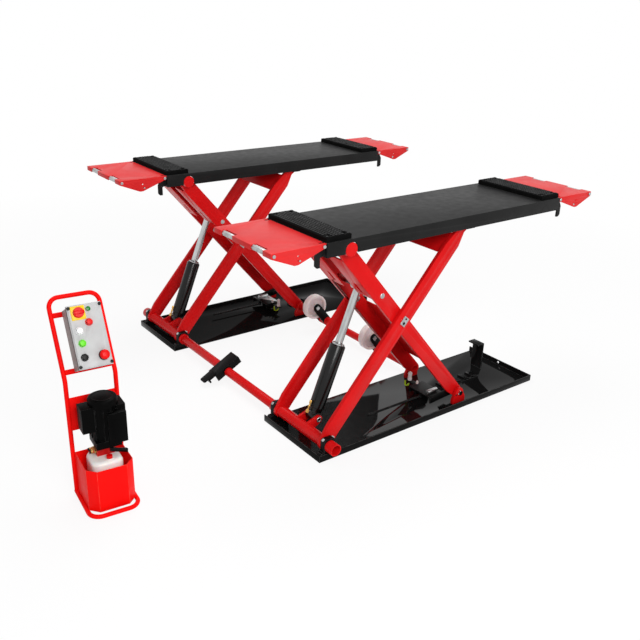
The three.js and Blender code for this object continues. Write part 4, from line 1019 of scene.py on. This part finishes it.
pick_parts(tank, "EDGE", lambda edge: rise_of(edge) > 10 * MM)
bpy.ops.mesh.bevel(offset=30 * MM, segments=7, affect="EDGES")
pick_parts(tank, "EDGE", lambda edge: rise_of(edge) < 0.01 * MM)
bpy.ops.mesh.bevel(offset=18 * MM, segments=6, affect="EDGES")
bpy.ops.object.mode_set(mode="OBJECT")
keep_for("oil_tank", laid(tank, ON_STAND), "oil_tank_shell", tank_plastic)
neck = spun([(12.6, 0), (16, 0), (16, 3), (14.8, 4.6), (12.6, 4.6)], 32,
            Vector((8, -142, 214.5)) * MM)
keep(laid(neck, ON_STAND), "oil_tank_neck", tank_plastic)
finished_copy("tank_cap", red_plastic, 0.9)
print("tank faces", len(tank.data.polygons))

# %% [markdown]
# Above the tank sit the pump's valve block and the motor. Three brass fittings with
# blackened tips take the hoses on the left of the block. The motor is cast and painted
# black: its round body, flange and boxes are the solid's copy, and the fan cover over
# its top is pressed sheet with a recess and a ring.

# %% Valve block and motor
MOTOR_X, MOTOR_Y, MOTOR_FOOT = 14, -88, 258.6
PORT_Z = 237.3
finished_copy("valve_block", block_enamel, 1.2)
finished_copy("motor", motor_enamel, 2.2)
finished_copy("release_lever", bracket_enamel, 0.9)
handle = spun([(0, 0), (4.6, 0), (5.6, 3), (6.6, 26), (8.6, 42), (9, 52), (7.4, 58), (0, 59)],
              24, Vector((34, -115.3, 235.6)) * MM, (60, 0, -24))
keep(laid(handle, ON_STAND), "lever_handle", black_plastic, body_of("release_lever"))
cover = spun([(50, -3), (56.6, -3), (56.9, 0), (56.9, 17), (54, 24), (47, 28.2), (40, 28.6),
              (36, 26.4), (12, 26.4), (10, 28.4), (0, 28.8)],
             56, Vector((MOTOR_X, MOTOR_Y, MOTOR_FOOT + 178)) * MM)
keep(laid(cover, ON_STAND), "fan_cover", motor_enamel)
union = spun([(0, 0), (7.4, 0), (8.2, 0.8), (8.2, 9.2), (7.4, 10), (5.2, 10.6), (5.2, 13),
              (6.6, 13.8), (6.6, 20), (6, 21), (0, 21)], 6)
tip = spun([(0, 20.6), (5.4, 20.6), (5.8, 21.4), (5.8, 25.4), (4.6, 27), (0, 27)], 24)
templates += [union, tip]
left = ON_STAND.to_3x3() @ Vector((-1, 0, 0))
for number, (x, y) in enumerate(((-30, -100), (-27.2, -88), (-30, -76))):
    foot = ON_STAND @ (Vector((x, y, PORT_Z)) * MM)
    copied(union, foot, left, f"port_union_{number}", brass, turn=0.3)
    copied(tip, foot, left, f"port_tip_{number}", black_plastic, smooth=SMOOTH)
seam = block((MOTOR_X + 14, MOTOR_Y - 66.8, MOTOR_FOOT + 30),
             (MOTOR_X + 60, MOTOR_Y - 65.6, MOTOR_FOOT + 122), 0.5, 2, ON_STAND)
keep(seam, "front_box_cover", motor_enamel)
print("motor dressed")

# %% [markdown]
# The control box is folded sheet under grey powder coat, closed by a moulded lid. A thin
# dark gasket shows between them, and four black screws hold the lid at its corners. The
# isolator stands on a yellow plate, and the signal lamp is a dark green lens.

# %% Control box
BOX_X, BOX_HALF, BOX_LOW, BOX_HIGH, LID_LOW, LID_TOP = 5, 61, 28, 267, 104.55, 120.55
ISOLATOR, LAMP, STOP = (-0.44, 0.76), (0.2, 0.84), (0.57, -0.69)


def on_lid(across_share, up_share):
    """Place of a control on the lid, from shares of the lid's half width and height."""
    middle, half_high = (BOX_LOW + BOX_HIGH) / 2, (BOX_HIGH - BOX_LOW) / 2
    return BOX_X + BOX_HALF * across_share, middle + half_high * up_share


def near(shares, above, reach):
    """A test for faces of the lid that stand above it near a control."""
    at_x, at_y = on_lid(*shares)

    def test(centre):
        x, y, z = (ON_BOX.inverted() @ centre) / MM
        return z > LID_TOP + above and reach(x - at_x, y - at_y)
    return test


finished_copy("control_box", box_enamel, 1.0)
lid_piece = finished_copy("control_lid", lid_plastic, 1.4)
on_plate = near(ISOLATOR, 0.05, lambda x, y: max(abs(x), abs(y)) < 27)
on_lens = near(LAMP, 3.2, lambda x, y: math.hypot(x, y) < 11)
print("plate faces", paint_faces(lid_piece, yellow_plastic, on_plate),
      "lens faces", paint_faces(lid_piece, lens_plastic, on_lens))

# %% [markdown]
# The gasket is a rim of rubber that shows all round by a little, and the four screws sit
# in from the lid's corners.

# %% Gasket and lid screws
PROUD = 3.6
gasket = flat_plate((BOX_X - BOX_HALF - PROUD, BOX_LOW - PROUD, LID_LOW - 4.6),
                    (BOX_X + BOX_HALF + PROUD, BOX_HIGH + PROUD, LID_LOW + 0.6), 1.2, 0, 8, ON_BOX)
keep(gasket, "lid_gasket", pad_rubber)
lid_screw = spun([(0, 0), (6.6, 0), (6.6, 2), (5.4, 3.4), (2, 3.4), (1.5, 2.2), (0, 2.2)], 20)
templates.append(lid_screw)
off_lid = ON_BOX.to_3x3() @ Vector(UP)
for number, (x, y) in enumerate(((-54, 35), (64, 35), (-54, 260), (64, 260))):
    seat = ON_BOX @ (Vector((x, y, LID_TOP)) * MM)
    copied(lid_screw, seat, off_lid, f"lid_screw_{number}", black_plastic, smooth=SMOOTH)
print("lid dressed")

# %% [markdown]
# Push buttons are moulded, with a soft rim, and each stands in a collar that is screwed
# to the lid. The emergency stop is a mushroom that a palm can strike, and the isolator is
# a round knob with a grip across it. Each replaces its plain solid and rides with it.

# %% Buttons, stop and isolator
def seated(outline, shares, above, steps=40):
    """A turned piece on the lid, its foot some millimetres above it."""
    foot = Vector((*on_lid(*shares), LID_TOP + above)) * MM
    return laid(spun(outline, steps, foot), ON_BOX)


BUTTON = [(0, -25), (6.2, -25), (6.2, 0), (10.4, 0), (11, 0.7), (11, 8.2), (10.2, 9.6), (8.8, 10),
          (0, 9.4)]
COLLAR = [(11.7, 0), (14.4, 0), (14.4, 2.2), (13.2, 3.8), (12.2, 3.8), (11.7, 3.2)]
MUSHROOM = [(0, -25), (7.6, -25), (7.6, 0), (12.6, 0), (16, 2.6), (18.8, 7), (19, 10.4),
            (17.6, 14), (14, 16.8), (8, 18), (0, 18)]
STOP_COLLAR = [(16.7, 0), (19.8, 0), (19.8, 2.4), (18.8, 3.6), (17.2, 3.6), (16.7, 3)]
KNOB = [(0, -24), (7.8, -24), (7.8, 0), (19, 0), (20, 1), (20, 12), (18, 15), (0, 15)]
COLLAR_GAP = 0.1
for colour, shares, material in (
    ("red", (0.1, 0.42), red_plastic), ("white", (-0.59, 0.19), white_plastic),
    ("green", (-0.57, -0.21), green_plastic), ("black", (-0.61, -0.66), black_plastic),
):
    node = f"button_{colour}"
    keep_for(node, seated(BUTTON, shares, 4.5), node + "_finished", material)
    keep(seated(COLLAR, shares, COLLAR_GAP), f"button_collar_{colour}", material)
keep_for("emergency_stop", seated(MUSHROOM, STOP, 6), "emergency_stop_finished", red_plastic)
keep(seated(STOP_COLLAR, STOP, COLLAR_GAP), "stop_collar", black_plastic)
keep_for("isolator_knob", seated(KNOB, ISOLATOR, 5.3, 48), "isolator_knob_finished", red_plastic)
knob_x, knob_y = on_lid(*ISOLATOR)
grip = block((knob_x - 19, knob_y - 6.4, LID_TOP + 19), (knob_x + 19, knob_y + 6.4, LID_TOP + 28),
             2, 3, ON_BOX)
keep(grip, "isolator_grip", red_plastic, body_of("isolator_knob"))
for template in templates:
    bpy.data.objects.remove(template)
